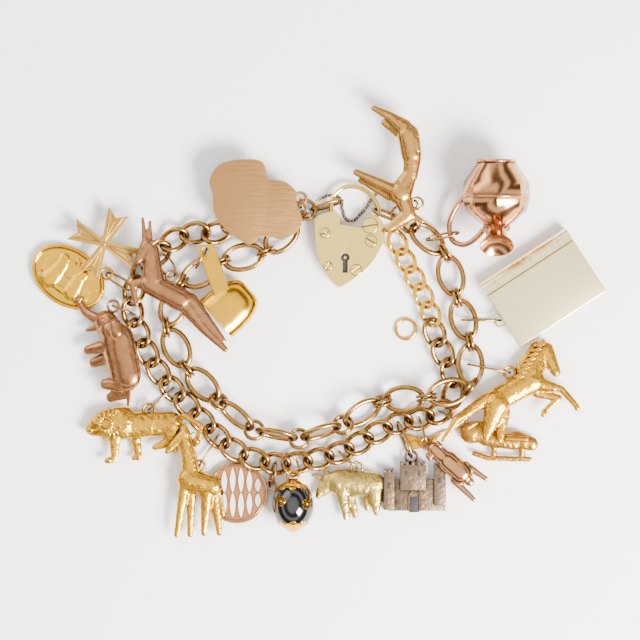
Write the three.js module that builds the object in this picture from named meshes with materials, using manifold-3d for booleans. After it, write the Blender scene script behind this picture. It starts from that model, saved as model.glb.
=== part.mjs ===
// A charm bracelet lying open on a table: two chain strands, a heart padlock clasp and nineteen charms.
// Millimetres, +Z up. The plan frame used for places has its origin near the middle of the wrist opening;
// the finished group is shifted so that its own origin is the bottom centre of its bounding box.
import * as THREE from "three";
import { ConvexGeometry } from "three/addons/geometries/ConvexGeometry.js";
import { mergeVertices } from "three/addons/utils/BufferGeometryUtils.js";
import Module from "manifold-3d";

const wasm = await Module();
wasm.setup();

// Driving dimensions.
const CURB = { halfLength: 3.5, halfWidth: 2.35, twist: 0.85, wire: 0.65, pitch: 5.45, bead: 0.55 };
const OVAL = { halfLength: 4.9, halfWidth: 3.0, wire: 0.67, bead: 0.62 };
const TWIN = { radius: 2.35, wire: 0.4, apart: 0.48, reach: 0.82 };
const JUMP = { radius: 2.6, wire: 0.3, span: 4.95, longest: 2.7, halfWidth: 1.9 };
const LOOP = { radius: 1.45, wire: 0.34 };
const OVAL_PITCH = 2 * (OVAL.halfLength + TWIN.reach);
const LOCK_THICK = 4.2;
const BOW_WIRE = 0.6;
const BOW_Z = 2.1;
const FLOOR_GAP = 0.05;

const GOLD = { antique: 0xb08a52, bright: 0xe0b548, rose: 0xc08a68, pale: 0xe8d9a0, brown: 0xa8875e };
const metal = (color, roughness = 0.3) => new THREE.MeshStandardMaterial({ color, roughness, metalness: 1 });
const enamel = (color) => new THREE.MeshStandardMaterial({ color, roughness: 0.15, metalness: 0 });

const antique = () => metal(GOLD.antique);
const rose = () => metal(GOLD.rose, 0.3);
const bright = () => metal(GOLD.bright, 0.25);
const pale = () => metal(GOLD.pale, 0.2);

const bracelet = new THREE.Group();

// ---- solids -------------------------------------------------------------------------------------------

function solid(geometry) {
  const g = geometry.clone();
  g.deleteAttribute("normal");
  g.deleteAttribute("uv");
  const merged = mergeVertices(g, 1e-4);
  const mesh = new wasm.Mesh({
    numProp: 3,
    vertProperties: new Float32Array(merged.attributes.position.array),
    triVerts: new Uint32Array(merged.index.array),
  });
  return new wasm.Manifold(mesh);
}

const join = (solids) => solids.reduce((all, one) => all.add(one));

// Every finished solid, so that a jump ring can be hung clear of them.
const built = [];

function addNode(name, body, material) {
  built.push({ body, box: body.boundingBox() });
  const m = body.getMesh();
  const g = new THREE.BufferGeometry();
  const xyz = new Float32Array(m.numVert * 3);
  for (let i = 0; i < m.numVert; i++) {
    xyz.set(m.vertProperties.subarray(i * m.numProp, i * m.numProp + 3), i * 3);
  }
  g.setAttribute("position", new THREE.BufferAttribute(xyz, 3));
  g.setIndex(new THREE.BufferAttribute(m.triVerts, 1));
  const mesh = new THREE.Mesh(g, material);
  mesh.name = name;
  bracelet.add(mesh);
  return mesh;
}

// Turns a geometry about Z by an angle in degrees and moves it.
const put = (g, x, y, z, turn = 0) => g.rotateZ(THREE.MathUtils.degToRad(turn)).translate(x, y, z);

class WireLoop extends THREE.Curve {
  constructor(at) {
    super();
    this.at = at;
  }
  getPoint(t, target = new THREE.Vector3()) {
    return target.set(...this.at(2 * Math.PI * t));
  }
}

// A closed ring of wire along a closed curve.
function wireLoop(at, wire, steps = 12, sides = 4) {
  return new THREE.TubeGeometry(new WireLoop(at), steps, wire, sides, true);
}

const ovalLoop = (a, b, wire, steps) => wireLoop((t) => [a * Math.cos(t), b * Math.sin(t), 0], wire, steps);

function curbLoop({ halfLength: a, halfWidth: b, twist: c, wire }) {
  return wireLoop((t) => [a * Math.cos(t), b * Math.sin(t), c * Math.sin(2 * t)], wire, 10);
}

// A tube with closed ends along an open list of points.
function wirePath(points, wire, steps, sides = 6) {
  const section = new THREE.Shape();
  for (let i = 0; i < sides; i++) {
    const a = (2 * Math.PI * i) / sides;
    const at = [wire * Math.cos(a), wire * Math.sin(a)];
    if (i === 0) section.moveTo(...at);
    else section.lineTo(...at);
  }
  const path = new THREE.CatmullRomCurve3(points.map((p) => new THREE.Vector3(...p)), false, "centripetal");
  return new THREE.ExtrudeGeometry(section, { steps, extrudePath: path });
}

function plate(points, thickness, bottom, cut = []) {
  const shape = new THREE.Shape(points.map((p) => new THREE.Vector2(...p)));
  for (const hole of cut) shape.holes.push(hole);
  return new THREE.ExtrudeGeometry(shape, { depth: thickness, bevelEnabled: false }).translate(0, 0, bottom);
}

function cylinder(radius, low, high, sides = 12) {
  return new THREE.CylinderGeometry(radius, radius, high - low, sides)
    .rotateX(Math.PI / 2)
    .translate(0, 0, (low + high) / 2);
}

// ---- strands ------------------------------------------------------------------------------------------

// A route's rows are [x, y, z, roll in degrees]; walk() sets points along it a fixed chord apart.
function walk(rows, pitch, count) {
  const points = rows.map(([x, y, z]) => new THREE.Vector3(x, y, z));
  const line = new THREE.CatmullRomCurve3(points, false, "centripetal");
  const turn = (t) => {
    const k = Math.min(Math.floor(t * (rows.length - 1)), rows.length - 2);
    return THREE.MathUtils.lerp(rows[k][3], rows[k + 1][3], t * (rows.length - 1) - k);
  };
  const stops = [{ at: line.getPoint(0), roll: turn(0) }];
  const fine = 8000;
  for (let i = 1; i <= fine && stops.length < count; i++) {
    const here = line.getPoint(i / fine);
    if (here.distanceTo(stops[stops.length - 1].at) >= pitch) stops.push({ at: here, roll: turn(i / fine) });
  }
  return stops;
}

// The frame of a link between two points: X along the strand, Z up, then rolled about X.
function frameBetween(from, to, roll) {
  const x = to.clone().sub(from).normalize();
  const y = new THREE.Vector3(0, 0, 1).cross(x).normalize();
  const z = x.clone().cross(y);
  const middle = from.clone().add(to).multiplyScalar(0.5);
  return new THREE.Matrix4()
    .makeBasis(x, y, z)
    .setPosition(middle)
    .multiply(new THREE.Matrix4().makeRotationX(THREE.MathUtils.degToRad(roll)));
}

// The frames of curb links centred on walked stops.
function linkFrames(stops) {
  return stops.map((stop, i) => {
    const before = stops[Math.max(i - 1, 0)].at;
    const after = stops[Math.min(i + 1, stops.length - 1)].at;
    return frameBetween(before, after, stop.roll).setPosition(stop.at);
  });
}

const placed = (g, m) => solid(g.clone().applyMatrix4(m));
const apply = (m, x, y, z) => new THREE.Vector3(x, y, z).applyMatrix4(m);

// A contact bead, which holds two neighbouring links of one solid together.
const bead = (p, radius) => solid(new THREE.OctahedronGeometry(radius, 0).translate(p.x, p.y, p.z));

// Neighbouring curb links held together by a bead on each contact.
function curbStrand(frames, size) {
  const loop = curbLoop(size);
  const reachX = size.pitch / 2;
  const reachY = size.halfWidth * Math.sin(Math.acos(reachX / size.halfLength));
  const parts = frames.map((m) => placed(loop, m));
  for (let i = 0; i < frames.length - 1; i++) {
    const a = apply(frames[i], reachX, reachY, 0);
    const b = apply(frames[i + 1], -reachX, reachY, 0);
    parts.push(bead(a.add(b).multiplyScalar(0.5), size.bead));
  }
  return join(parts);
}

// Round-wire curb strand: link centres are the walked stops.
const CURB_ROUTE = [
  [-11, 27.9, 2.15, 0], [-16.4, 27.4, 2.15, 0], [-21, 24.8, 2.15, 0], [-25.4, 22, 2.15, 0], [-30, 21.8, 2.15, 0],
  [-34.4, 21.6, 2.15, 0], [-38.2, 18.4, 2.15, 0], [-42.5, 14.6, 2.15, 0], [-46, 9, 2.15, 0], [-47, 3, 2.15, 0],
  [-45.6, -2.5, 2.15, 0], [-43.3, -8, 2.15, 0], [-40.4, -13, 2.15, 0], [-36.6, -17.6, 2.15, 0],
  [-32.4, -22, 2.15, 0], [-27.8, -26.8, 2.3, 0], [-23, -31.4, 3.2, 0], [-17.4, -34.4, 3.2, 0],
  [-11.2, -35.9, 2.4, 0], [-5, -35.6, 2.15, 0], [0.8, -34.4, 2.15, 0], [6.2, -32.6, 2.15, 0], [10.8, -30.2, 2.15, 0],
  [15, -27.8, 2.15, 0], [19.6, -25.8, 2.15, 0], [24.4, -24.8, 2.15, 0], [28.8, -23.8, 2.15, 0],
  [32.4, -20.6, 2.15, 0], [33.6, -16, 2.15, 0], [32.2, -11.6, 2.15, 0], [30.2, -7, 2.15, 0], [28.4, -2.5, 2.15, 0],
  [27.4, 1.2, 2.15, 0],
];
const CURB_LINKS = 32;
const curbStops = walk(CURB_ROUTE, CURB.pitch, CURB_LINKS);
const curbFrames = linkFrames(curbStops);

// Oval strand: the walked stops are the places of the twin rings, and an oval link spans two of them.
const OVAL_ROUTE = [
  [-5.6, 25.1, 2.8, 0], [-9.2, 20.9, 2.8, 0], [-13, 17.2, 2.8, 0], [-18, 15.3, 2.8, 0], [-23.2, 14.8, 2.8, 0],
  [-28.2, 13.6, 2.8, 0], [-32.6, 11.2, 2.8, 0], [-36, 7.4, 2.8, 0], [-38, 2.6, 2.8, 0],
  [-38.4, -2.4, 2.8, 0], [-36.8, -7.2, 2.8, 0], [-34, -11.4, 2.8, 0], [-30.1, -14.9, 2.8, 10],
  [-26.6, -18.7, 3, 30], [-23, -22.8, 3.4, 50], [-18.6, -26.2, 3.9, 70], [-14, -28.6, 4, 75], [-9, -29.7, 4, 75],
  [-4, -29.5, 4, 75], [1.2, -28.2, 4, 70], [6, -26, 3.7, 60], [10.8, -23, 3.3, 40], [15.4, -20.2, 3, 20],
  [20.4, -18.8, 3.8, 0], [25.8, -19.2, 5.4, 0], [31, -19.8, 6.4, 0], [35.6, -18.6, 5.2, 0],
  [38.6, -15, 3.6, 0], [38.8, -10.2, 2.8, 0], [37.4, -5.2, 2.8, 0], [35.8, -0.6, 2.8, 0], [34.6, 4, 2.8, 0],
  [33.6, 8.8, 2.8, 0], [32.2, 14, 2.8, 0], [29.8, 19, 2.8, 12], [26.3, 21.7, 3.1, 36], [21.6, 24.6, 3.55, 58],
];
const OVALS = 16;
// What the first and the last twin rings hold besides an oval link: the gathering ring and the bow's end link.
const GATHERING_AT = new THREE.Vector3(-3.6, 27.6, 2.6);
const BOW_HOLD = new THREE.Vector3(14.6, 27.1, 2.4);
const ovalStops = walk(OVAL_ROUTE, OVAL_PITCH, OVALS + 1);
const ovalFrames = ovalStops.slice(1).map((stop, i) => {
  return frameBetween(ovalStops[i].at, stop.at, (ovalStops[i].roll + stop.roll) / 2);
});

function twinFrame(i) {
  const before = i > 0 ? ovalStops[i - 1].at : GATHERING_AT;
  const after = i < OVALS ? ovalStops[i + 1].at : BOW_HOLD;
  return frameBetween(before, after, ovalStops[i].roll).setPosition(ovalStops[i].at);
}

// Ovals first..last with the twin rings between them, and the twin at either end where asked.
function ovalSegment(first, last, { startTwin = false, endTwin = true } = {}) {
  const oval = ovalLoop(OVAL.halfLength, OVAL.halfWidth, OVAL.wire, 12);
  const ring = new THREE.TorusGeometry(TWIN.radius, TWIN.wire, 4, 6).rotateX(Math.PI / 2);
  const parts = [];
  const twin = (i, touchBefore, touchAfter) => {
    const m = twinFrame(i);
    for (const side of [-1, 1]) {
      const shifted = m.clone().multiply(new THREE.Matrix4().makeTranslation(0, side * TWIN.apart, 0));
      parts.push(placed(ring, shifted));
      const x = (TWIN.radius + TWIN.reach) / 2;
      if (touchBefore) parts.push(bead(apply(shifted, -x, 0, 0), OVAL.bead));
      if (touchAfter && (side > 0 || !touchBefore)) parts.push(bead(apply(shifted, x, 0, 0), OVAL.bead));
    }
  };
  if (startTwin) twin(first, false, true);
  for (let i = first; i <= last; i++) {
    parts.push(placed(oval, ovalFrames[i]));
    if (i < last) twin(i + 1, true, true);
    else if (endTwin) twin(i + 1, true, false);
  }
  return join(parts);
}

const CURB_SEGMENTS = [[0, 2], [3, 8], [9, 14], [15, 20], [21, 25], [26, 31]];
CURB_SEGMENTS.forEach(([a, b], i) => {
  addNode("curb_chain_" + (i + 1), curbStrand(curbFrames.slice(a, b + 1), CURB), antique());
});
const OVAL_SEGMENTS = [[0, 1], [2, 5], [6, 8], [9, 10], [11, 13], [14, 15]];
OVAL_SEGMENTS.forEach(([a, b], i) => {
  const name = "oval_chain_" + (i + 1);
  addNode(name, ovalSegment(a, b, { startTwin: i === 0, endTwin: true }), antique());
});


// ---- clasp --------------------------------------------------------------------------------------------

const PIVOT = [12.5, 23.6];
const LOBE_SLOT = { half: 1.0, radius: 2.3 };
const EYE = { outer: 1.75, inner: 1.0, half: 0.6 };

// The heart outline: two lobes at the top with a flat-bottomed gap between them, and a point below.
const HEART = [
  [-0.9, 25.6], [-1.3, 22.4], [-0.7, 16.7], [1.4, 12.1], [3.6, 8.9], [5.1, 8.2], [8.6, 10.4], [12.6, 13.8],
  [15.2, 18.1], [16.3, 21.3], [15.9, 24], [14.4, 25.6], [11.7, 25.7], [10.6, 22.9], [4.9, 23.9], [5.1, 25.6],
  [4.2, 26.9], [2.6, 27.1],
];
const KEYHOLE = { x: 6.3, y: 15.6, radius: 1.1, slotHalf: 0.65, slotEnd: 11.8 };
const LEG = [2.75, 25.4];

function padlockBody() {
  let body = solid(plate(HEART, LOCK_THICK, FLOOR_GAP));
  const low = BOW_Z - LOBE_SLOT.half;
  const high = BOW_Z + LOBE_SLOT.half;
  const [px, py] = PIVOT;
  body = body.subtract(solid(put(cylinder(LOBE_SLOT.radius, low, high), px, py, 0)));
  const sweep = [[px - 1.6, py], [px - 1.2, py + 6], [px + 7, py + 6], [px + 7, py - 1.2], [px, py - 1.6]];
  body = body.subtract(solid(plate(sweep, high - low, low)));
  body = body.add(solid(put(cylinder(0.62, low - 0.2, high + 0.2, 8), px, py, 0)));
  const socket = [[LEG[0] - 1, LEG[1] - 0.5], [LEG[0] - 1, 29], [LEG[0] + 2.2, 29], [LEG[0] + 1.1, LEG[1] - 0.5]];
  body = body.subtract(solid(plate(socket, high - low, low)));
  const { x, y, radius, slotHalf, slotEnd } = KEYHOLE;
  const deep = LOCK_THICK - 1.2;
  body = body.subtract(solid(put(cylinder(radius, deep, LOCK_THICK + 1, 10), x, y, 0)));
  const slot = [[x - slotHalf, y], [x - slotHalf, slotEnd], [x + slotHalf, slotEnd], [x + slotHalf, y]];
  body = body.subtract(solid(plate(slot, LOCK_THICK, deep)));
  return body.add(solid(put(cylinder(0.4, deep - 0.2, LOCK_THICK - 0.2, 8), x, y, 0)));
}

function shackle() {
  const bow = [
    [PIVOT[0] + 1, PIVOT[1] + 1], [14.6, 26.8], [14.4, 28.6], [12.6, 31.4], [9.8, 33.1], [6.9, 33.4],
    [4.2, 32], [2.8, 29.6], [LEG[0], 27.6], [LEG[0], LEG[1] + 0.1],
  ];
  const wire = solid(wirePath(bow.map(([x, y]) => [x, y, BOW_Z]), BOW_WIRE, 18));
  const [px, py] = PIVOT;
  const eye = solid(put(cylinder(EYE.outer, BOW_Z - EYE.half, BOW_Z + EYE.half, 10), px, py, 0));
  const bore = solid(put(cylinder(EYE.inner, BOW_Z - 1, BOW_Z + 1, 10), px, py, 0));
  return wire.add(eye).subtract(bore);
}

addNode("padlock_body", padlockBody(), pale());
addNode("padlock_shackle", shackle(), pale());

// A ring standing on edge between two points of the plan, or a flat one.
function standingRing(x0, y0, x1, y1, z, radius, wire) {
  const g = new THREE.TorusGeometry(radius, wire, 4, 10).rotateX(Math.PI / 2);
  const turn = THREE.MathUtils.radToDeg(Math.atan2(y1 - y0, x1 - x0));
  return solid(put(g, (x0 + x1) / 2, (y0 + y1) / 2, z, turn));
}
const flatRing = (x, y, z, radius, wire) => solid(new THREE.TorusGeometry(radius, wire, 4, 8).translate(x, y, z));

addNode("gathering_ring", flatRing(...GATHERING_AT.toArray(), 2.4, 0.5), antique());
addNode("curb_end_ring", standingRing(-9.15, 27.9, -4.75, 28.2, 2.7, 2.2, 0.36), antique());

// The clasp link holds the left leg of the bow, and the end link holds the right leg and the last twin rings.
const CLASP_LINK = {
  halfLength: 4.05, halfWidth: 1.9, wire: 0.4, at: [1.72, 28.75], turn: 16, roll: 75, z: 2.5,
};
const END_LINK = { halfWidth: 2.4, wire: 0.44, roll: 74 };

function claspLink() {
  const { halfLength, halfWidth, wire, at, turn, roll, z } = CLASP_LINK;
  const g = ovalLoop(halfLength, halfWidth, wire, 12).rotateX(THREE.MathUtils.degToRad(roll));
  return solid(put(g, at[0], at[1], z, turn));
}

const lastTwin = ovalStops[OVALS].at;
const endLength = (lastTwin.distanceTo(BOW_HOLD) - TWIN.reach + END_LINK.wire + BOW_WIRE + 0.3) / 2;
const endSpan = BOW_HOLD.clone().sub(lastTwin).setLength(2 * (endLength + TWIN.reach));
const endFrame = frameBetween(lastTwin, lastTwin.clone().add(endSpan), END_LINK.roll);

addNode("clasp_link", claspLink(), antique());
addNode("end_link", placed(ovalLoop(endLength, END_LINK.halfWidth, END_LINK.wire, 12), endFrame), antique());

// The fine safety chain is one tube along its route under the bow and through the gap between the lobes.
const SAFETY_ROUTE = [
  [-0.3, 30.1, 1], [2.4, 31.2, 0.6], [5.2, 30.3, 0.6], [5.6, 28, 0.6], [6.6, 25.2, 0.7], [8.4, 24.9, 0.7],
  [9.9, 26.3, 0.7], [11.8, 28.4, 0.7], [12.8, 30.2, 0.7], [15.2, 32.4, 0.8],
];
addNode("safety_chain", solid(wirePath(SAFETY_ROUTE, 0.5, 16, 5)), antique());

// Flat-cut curb between the lock's side and the end of the round-wire curb, and the loose ring beside it.
const FLAT_CURB = { halfLength: 3.1, halfWidth: 2.1, twist: 0.75, wire: 0.54, pitch: 4.9, bead: 0.55, links: 5 };
const FLAT_CURB_ROUTE = [
  [27.7, 1.55, 2.1, 0], [25.9, 6.2, 2.1, 0], [23.7, 10.6, 2.1, 0], [21.4, 15, 2.1, 0], [19.3, 19.6, 2.1, 0],
  [18.6, 24, 2.1, 0],
];
addNode("flat_curb", curbStrand(linkFrames(walk(FLAT_CURB_ROUTE, FLAT_CURB.pitch, FLAT_CURB.links)), FLAT_CURB), bright());
addNode("loose_ring", flatRing(21.5, -2.3, 0.5, 2.5, 0.42), bright());

// ---- charms -------------------------------------------------------------------------------------------

const FLAT = 0.6;

// The round end of a limb: a thin one has fewer faces.
function knob(x, y, radius) {
  const g = radius < 2.4 ? new THREE.OctahedronGeometry(radius, 0) : new THREE.IcosahedronGeometry(radius, 0);
  return g.translate(x, y, 0);
}

// Rows are [x, y, radius, x, y, radius, height, height]: a creature is its limbs, flattened in its thickness.
function creature(rows) {
  return join(rows.map((row) => {
    const points = [];
    const [x0, y0, r0, x1, y1, r1, h0 = 0, h1 = h0] = row;
    for (const [g, h] of [[knob(x0, y0, r0), h0], [knob(x1, y1, r1), h1]]) {
      const p = g.getAttribute("position");
      for (let i = 0; i < p.count; i++) points.push(new THREE.Vector3(p.getX(i), p.getY(i), p.getZ(i) * FLAT + h));
    }
    return solid(new ConvexGeometry(points));
  }));
}

// The links a jump ring can hang on: the hole's half width, and how far along it the ring may pass.
const holes = [
  ...curbFrames.map((m) => ({ m, half: CURB.halfWidth - CURB.wire, window: 0.7 })),
  ...ovalFrames.map((m) => ({ m, half: OVAL.halfWidth - OVAL.wire, window: 2.2 })),
  { m: endFrame, half: END_LINK.halfWidth - END_LINK.wire, window: 2.8 },
];

// A jump ring through a charm's loop and a point of a link's hole, leaning by tilt about the line between them,
// or a long oval one where they lie further apart.
function jumpRing(loop, crossing, tilt, radius) {
  const along = loop.clone().sub(crossing);
  const half = along.length() / 2;
  const x = along.normalize();
  const y = new THREE.Vector3(0, 0, 1).cross(x).normalize();
  const z = x.clone().cross(y);
  const middle = loop.clone().add(crossing).multiplyScalar(0.5);
  const m = new THREE.Matrix4()
    .makeBasis(x, y, z)
    .setPosition(middle)
    .multiply(new THREE.Matrix4().makeRotationX(THREE.MathUtils.degToRad(tilt)));
  if (half > JUMP.longest) {
    return placed(ovalLoop(half + 0.1, radius - 0.6, JUMP.wire, 8).rotateX(Math.PI / 2), m);
  }
  const size = Math.max(radius, half + 0.2);
  const rise = Math.sqrt(size ** 2 - half ** 2);
  return placed(new THREE.TorusGeometry(size, JUMP.wire, 4, 8).rotateX(Math.PI / 2).translate(0, 0, rise), m);
}

function boxesMeet(a, b) {
  return [0, 1, 2].every((k) => a.min[k] < b.max[k] && b.min[k] < a.max[k]);
}

// Tries crossings, leans and sizes until the ring is clear of every finished solid.
function hangRing(loop, links = 4) {
  const near = holes.map((hole) => {
    const at = new THREE.Vector3().setFromMatrixPosition(hole.m);
    return { ...hole, far: Math.abs(at.distanceTo(loop) - JUMP.span) };
  });
  near.sort((a, b) => a.far - b.far);
  let best = null;
  for (const { m, half, window } of near.slice(0, links)) {
    const most = half - JUMP.wire - 0.1;
    for (const across of [0.2, 0.7, -0.4, 1, -1]) {
      for (const shift of [0, 0.8, -0.8]) {
        for (const tilt of [0, 18, -18, 34, -34, 50, -50, 70, -70]) {
          for (const radius of [JUMP.radius, JUMP.radius + 0.4, JUMP.radius - 0.3]) {
            const crossing = new THREE.Vector3(shift * window, across * most, 0).applyMatrix4(m);
            if (crossing.distanceTo(loop) < 3) continue;
            if (crossing.distanceTo(loop) > 10.5) continue;
            const ring = jumpRing(loop, crossing, tilt, radius);
            const box = ring.boundingBox();
            let cost = box.min[2] < FLOOR_GAP ? 1 : 0;
            for (const other of built) {
              if (cost > (best ? best.cost : 10)) break;
              if (boxesMeet(box, other.box)) cost += ring.intersect(other.body).volume();
            }
            if (!best || cost < best.cost) best = { cost, ring };
            if (best.cost < 3e-3) return best.ring;
          }
        }
      }
    }
  }
  return best.ring;
}

// Adds a charm at a place of the plan, with its soldered loop [x, y], which a jump ring is hung through later.
// rise is how much it climbs per millimetre of its X and of its Y, where it leans on what lies under it.
const loops = [];
function addCharm(name, body, place, loopAt, material, { rise = [0, 0] } = {}) {
  const all = loopAt ? body.add(flatRing(loopAt[0], loopAt[1], 0, LOOP.radius, LOOP.wire)) : body;
  const m = new THREE.Matrix4()
    .makeRotationFromEuler(new THREE.Euler(Math.atan(rise[1]), -Math.atan(rise[0]), 0))
    .setPosition(...place);
  addNode(name, all.transform(m.elements), material);
  if (loopAt) loops.push({ name, at: new THREE.Vector3(loopAt[0], loopAt[1], 0).applyMatrix4(m) });
}

const LION = [
  [-12.2, 0.2, 2.5, -13.8, -0.5, 1.5], [-10.8, 0.8, 3.4, -6.2, 1.2, 4.3], [-5, 0.5, 3.4, 6.2, 1, 3],
  [-7.8, -1.8, 1.7, -8, -7.5, 0.9, 0.5], [-8, -7.9, 0.9, -9.2, -8.2, 0.8, 0.5],
  [-2.8, -1.8, 1.5, -2, -7, 0.9, -0.5], [-2, -7.4, 0.9, -3.2, -7.6, 0.7, -0.5],
  [6.4, 0.2, 2.5, 6.2, -3.2, 1.6, 0.4], [6.2, -3.4, 1.4, 2.2, -4.9, 0.9, 0.4], [7.2, -1.2, 1.7, 7, -5.6, 0.9, -0.5],
  [7.4, 1.8, 1, 9.6, 3, 0.8, 0.4, 2.9], [9.6, 3, 0.8, 13.8, 0.5, 0.7, 2.9], [13.8, 0.5, 0.7, 12.8, -3.4, 0.9, 2.9],
];
const GIRAFFE = [
  [-2.8, 14, 1.5, -6.8, 10.2, 0.9], [-2.2, 14.5, 0.8, -2.8, 16.4, 0.6], [-2.8, 13, 1.5, -1.2, 4, 2.2],
  [-1.8, 2.5, 3, 3.8, 1, 2.7], [-3, 0, 1.3, -4.8, -11.2, 0.8, 0.4], [-1.2, -0.5, 1.3, -1.5, -11.2, 0.8, -0.4],
  [2.8, -0.5, 1.6, 2, -10.8, 0.8, 0.4], [4.5, -0.5, 1.6, 5.8, -10.8, 0.8, -0.4], [5.4, 1.4, 0.7, 6.8, -6.2, 0.6],
];
const BULL = [
  [-6, 1.2, 2.4, -8.2, -1.2, 1.5], [-7.2, 1.8, 0.8, -10.5, 2.8, 0.45], [-6, 2.4, 0.8, -7.5, 4.2, 0.45],
  [-3.8, 1, 3.3, 4.5, 0.5, 3.2], [-3, -1.8, 1.6, -2, -7.8, 0.9, 0.5], [-1.2, -1.8, 1.4, 0.2, -7.2, 0.9, -0.5],
  [5, -1.2, 2, 5.5, -6.5, 0.9, 0.5], [3.2, -1.2, 1.8, 3.2, -5.4, 0.9, -0.5], [6.4, 1.2, 0.7, 7.4, -3.8, 0.6],
];
const HORSE = [
  [5.2, 10, 2.2, 7.8, 4.5, 1.3], [4, 9.5, 2.2, 1.2, 3.5, 3.2], [2.8, 11, 1.2, -0.8, 5.5, 1.6],
  [1.8, 2.5, 3.3, -6.2, -2, 3.1], [-7, -3.2, 3.3, -9.8, -12, 0.9, 0.5], [-5.5, -5.5, 2, -6.2, -12.5, 0.9, -0.5],
  [3.8, 1.5, 1.6, 9.2, 0.2, 0.9, 0.5], [9.2, 0.2, 0.9, 12.8, -4, 0.8, 0.5],
  [3.2, -0.5, 1.5, 8.5, -2, 0.9, -0.5], [8.5, -2, 0.9, 4.8, -5.5, 0.8, -0.5],
  [-8.4, -1.5, 1.6, -17, -7.5, 1.1, 0, 2.2], [-17, -7.5, 1.1, -20.5, -12.8, 0.6, 2.2],
];
const ELEPHANT = [
  [-1.5, 7, 3, 0, 4.5, 3.4], [-3.5, 7.5, 1.6, -7, 9.5, 1.1], [-7, 9.5, 1.1, -8.8, 12.2, 0.8],
  [-4, 5.5, 0.8, -6.5, 5, 0.5], [1.5, 2.5, 4.4, 3.5, -6.2, 4.2], [-0.2, 5, 2.6, 0.6, 3.6, 2.4, 1],
  [-1.5, 1, 1.8, -6, 0, 1.3, 0.7], [-0.5, -1.5, 1.8, -5, -3.2, 1.3, -0.7],
  [2, -8.5, 2.2, -1.5, -8.5, 1.4, 0.7], [2.8, -10.4, 2, -0.5, -11.8, 1.3, -0.7], [4.8, -9.5, 0.9, 4.4, -13.5, 0.6],
];
const ANTELOPE = [
  [-4.2, 11, 1.9, -6.2, 7.8, 1.1], [-3.2, 10, 1.9, -2.8, 2.5, 2.8], [-4.8, 12, 0.8, -5.4, 17.8, 0.45],
  [-3.6, 12, 0.8, -3.6, 17, 0.45], [-3.8, 1.5, 2.6, 4.2, -2.5, 2.9], [-5.2, 1.8, 1.5, -8, 1.5, 1],
  [-8, 1.5, 1, -7, -3.5, 0.7], [5.2, -3.5, 2.3, 10.2, -10, 1.3], [10.2, -10, 1.3, 15.2, -14.8, 0.8],
  [6.6, -2.5, 1.8, 11.4, -8.4, 1.1], [11.4, -8.4, 1.1, 14.8, -12.6, 0.7],
];
const HOUND = [
  [2, 12.5, 2.8, 2.8, 7.5, 2.6], [1, 14.2, 2.2, -3, 17.2, 1.2], [-3, 17.2, 1.2, -6.6, 19, 0.8],
  [0.8, 12.6, 1.8, -4, 15.4, 0.9, -0.5], [3, 6.8, 2.3, 2.5, 2.2, 1.9], [2, 1.8, 2, 0, -2.2, 3],
  [-2, -1.2, 1.5, -11, 3, 0.9, 0.4], [-2.6, -3, 1.2, -10, 1, 0.7, -0.4], [0.5, -3.2, 2.3, 2, -7.2, 1.8],
  [1.5, -7.8, 1.9, -3, -11.2, 1], [3, -7.8, 1, 5.5, -9.2, 0.6],
];
const HAND = [
  [-4.4, 4.7, 1.9, -2.4, 2.8, 2.1], [-1.2, 1.8, 2.6, 2.2, -1.2, 2.7], [3.4, 0.8, 1, 8.4, -2.6, 0.7],
  [0.4, -3, 1, 5.4, -7.8, 0.7], [2.8, -1.6, 1.6, 4.4, -3.4, 1.2],
];
const SLEIGH = [
  [-6.8, 0.8, 2.8, -3, 1.2, 2.6], [-3, -0.4, 2.2, 4, -1.6, 2], [4.4, -0.8, 2.2, 8.4, -2, 1.8],
  [-6, -4.4, 0.7, -2.4, -5.6, 0.7], [-2.4, -5.6, 0.7, 8, -5.8, 0.7], [-1, -1.6, 0.9, -1, -5.6, 0.7],
  [6, -2.4, 0.9, 6, -5.8, 0.7],
];

addCharm("lion", creature(LION), [-43.4, -26.9, 2.3], [0.6, 4.5], bright());
addCharm("giraffe", creature(GIRAFFE), [-31, -42.5, 3.7], [0.8, 6], bright(), { rise: [0, 0.06] });
addCharm("bull", creature(BULL), [8.6, -41.6, 2.1], [0.6, 4.6], metal(0xc9b98a, 0.35));
addCharm("horse", creature(HORSE), [51.2, -17.5, 3.6], [-3.8, 4.4], bright(), { rise: [0, -0.12] });
addCharm("elephant", creature(ELEPHANT), [-52, -7.5, 4.9], [0.4, 11], rose(), { rise: [0.3, 0] });
addCharm("antelope", creature(ANTELOPE), [-38.8, 7.5, 7.4], [1.9, 3.25], rose());
addCharm("hound", creature(HOUND), [20, 33.8, 7.2], [4.2, -4.7], metal(0xc79a55, 0.3));
addCharm("horned_hand", creature(HAND), [33, -37, 5.3], [-6.3, 6.3], rose());
addCharm("sleigh", creature(SLEIGH), [44.5, -29, 2], [-9.4, 3.4], metal(0xb08a45, 0.35));

// A turned form: rows of [radius, distance along the axis], closed on the axis, turned about Y.
function turned(rows, sides) {
  const profile = rows.map(([r, y]) => new THREE.Vector2(r, y));
  return new THREE.LatheGeometry(profile, sides);
}

const JUG = {
  body: [[0, -9.8], [3.2, -9.8], [3.4, -8.2], [6.6, -6.2], [8.3, -3.7], [8.5, 1.5], [4.8, 8.2], [0, 8.2]],
  trumpet: [[0, 0], [3, 0], [2.6, 2.6], [4.3, 6], [3.9, 6], [0, 4.2]],
  sides: 10,
  tilt: 38,
  handle: [[7.6, -0.5], [10.4, -3.4], [12.3, -8], [11.4, -12], [8.4, -13], [5.6, -11.6], [3, -9]],
  handleRoll: 20,
};

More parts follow.
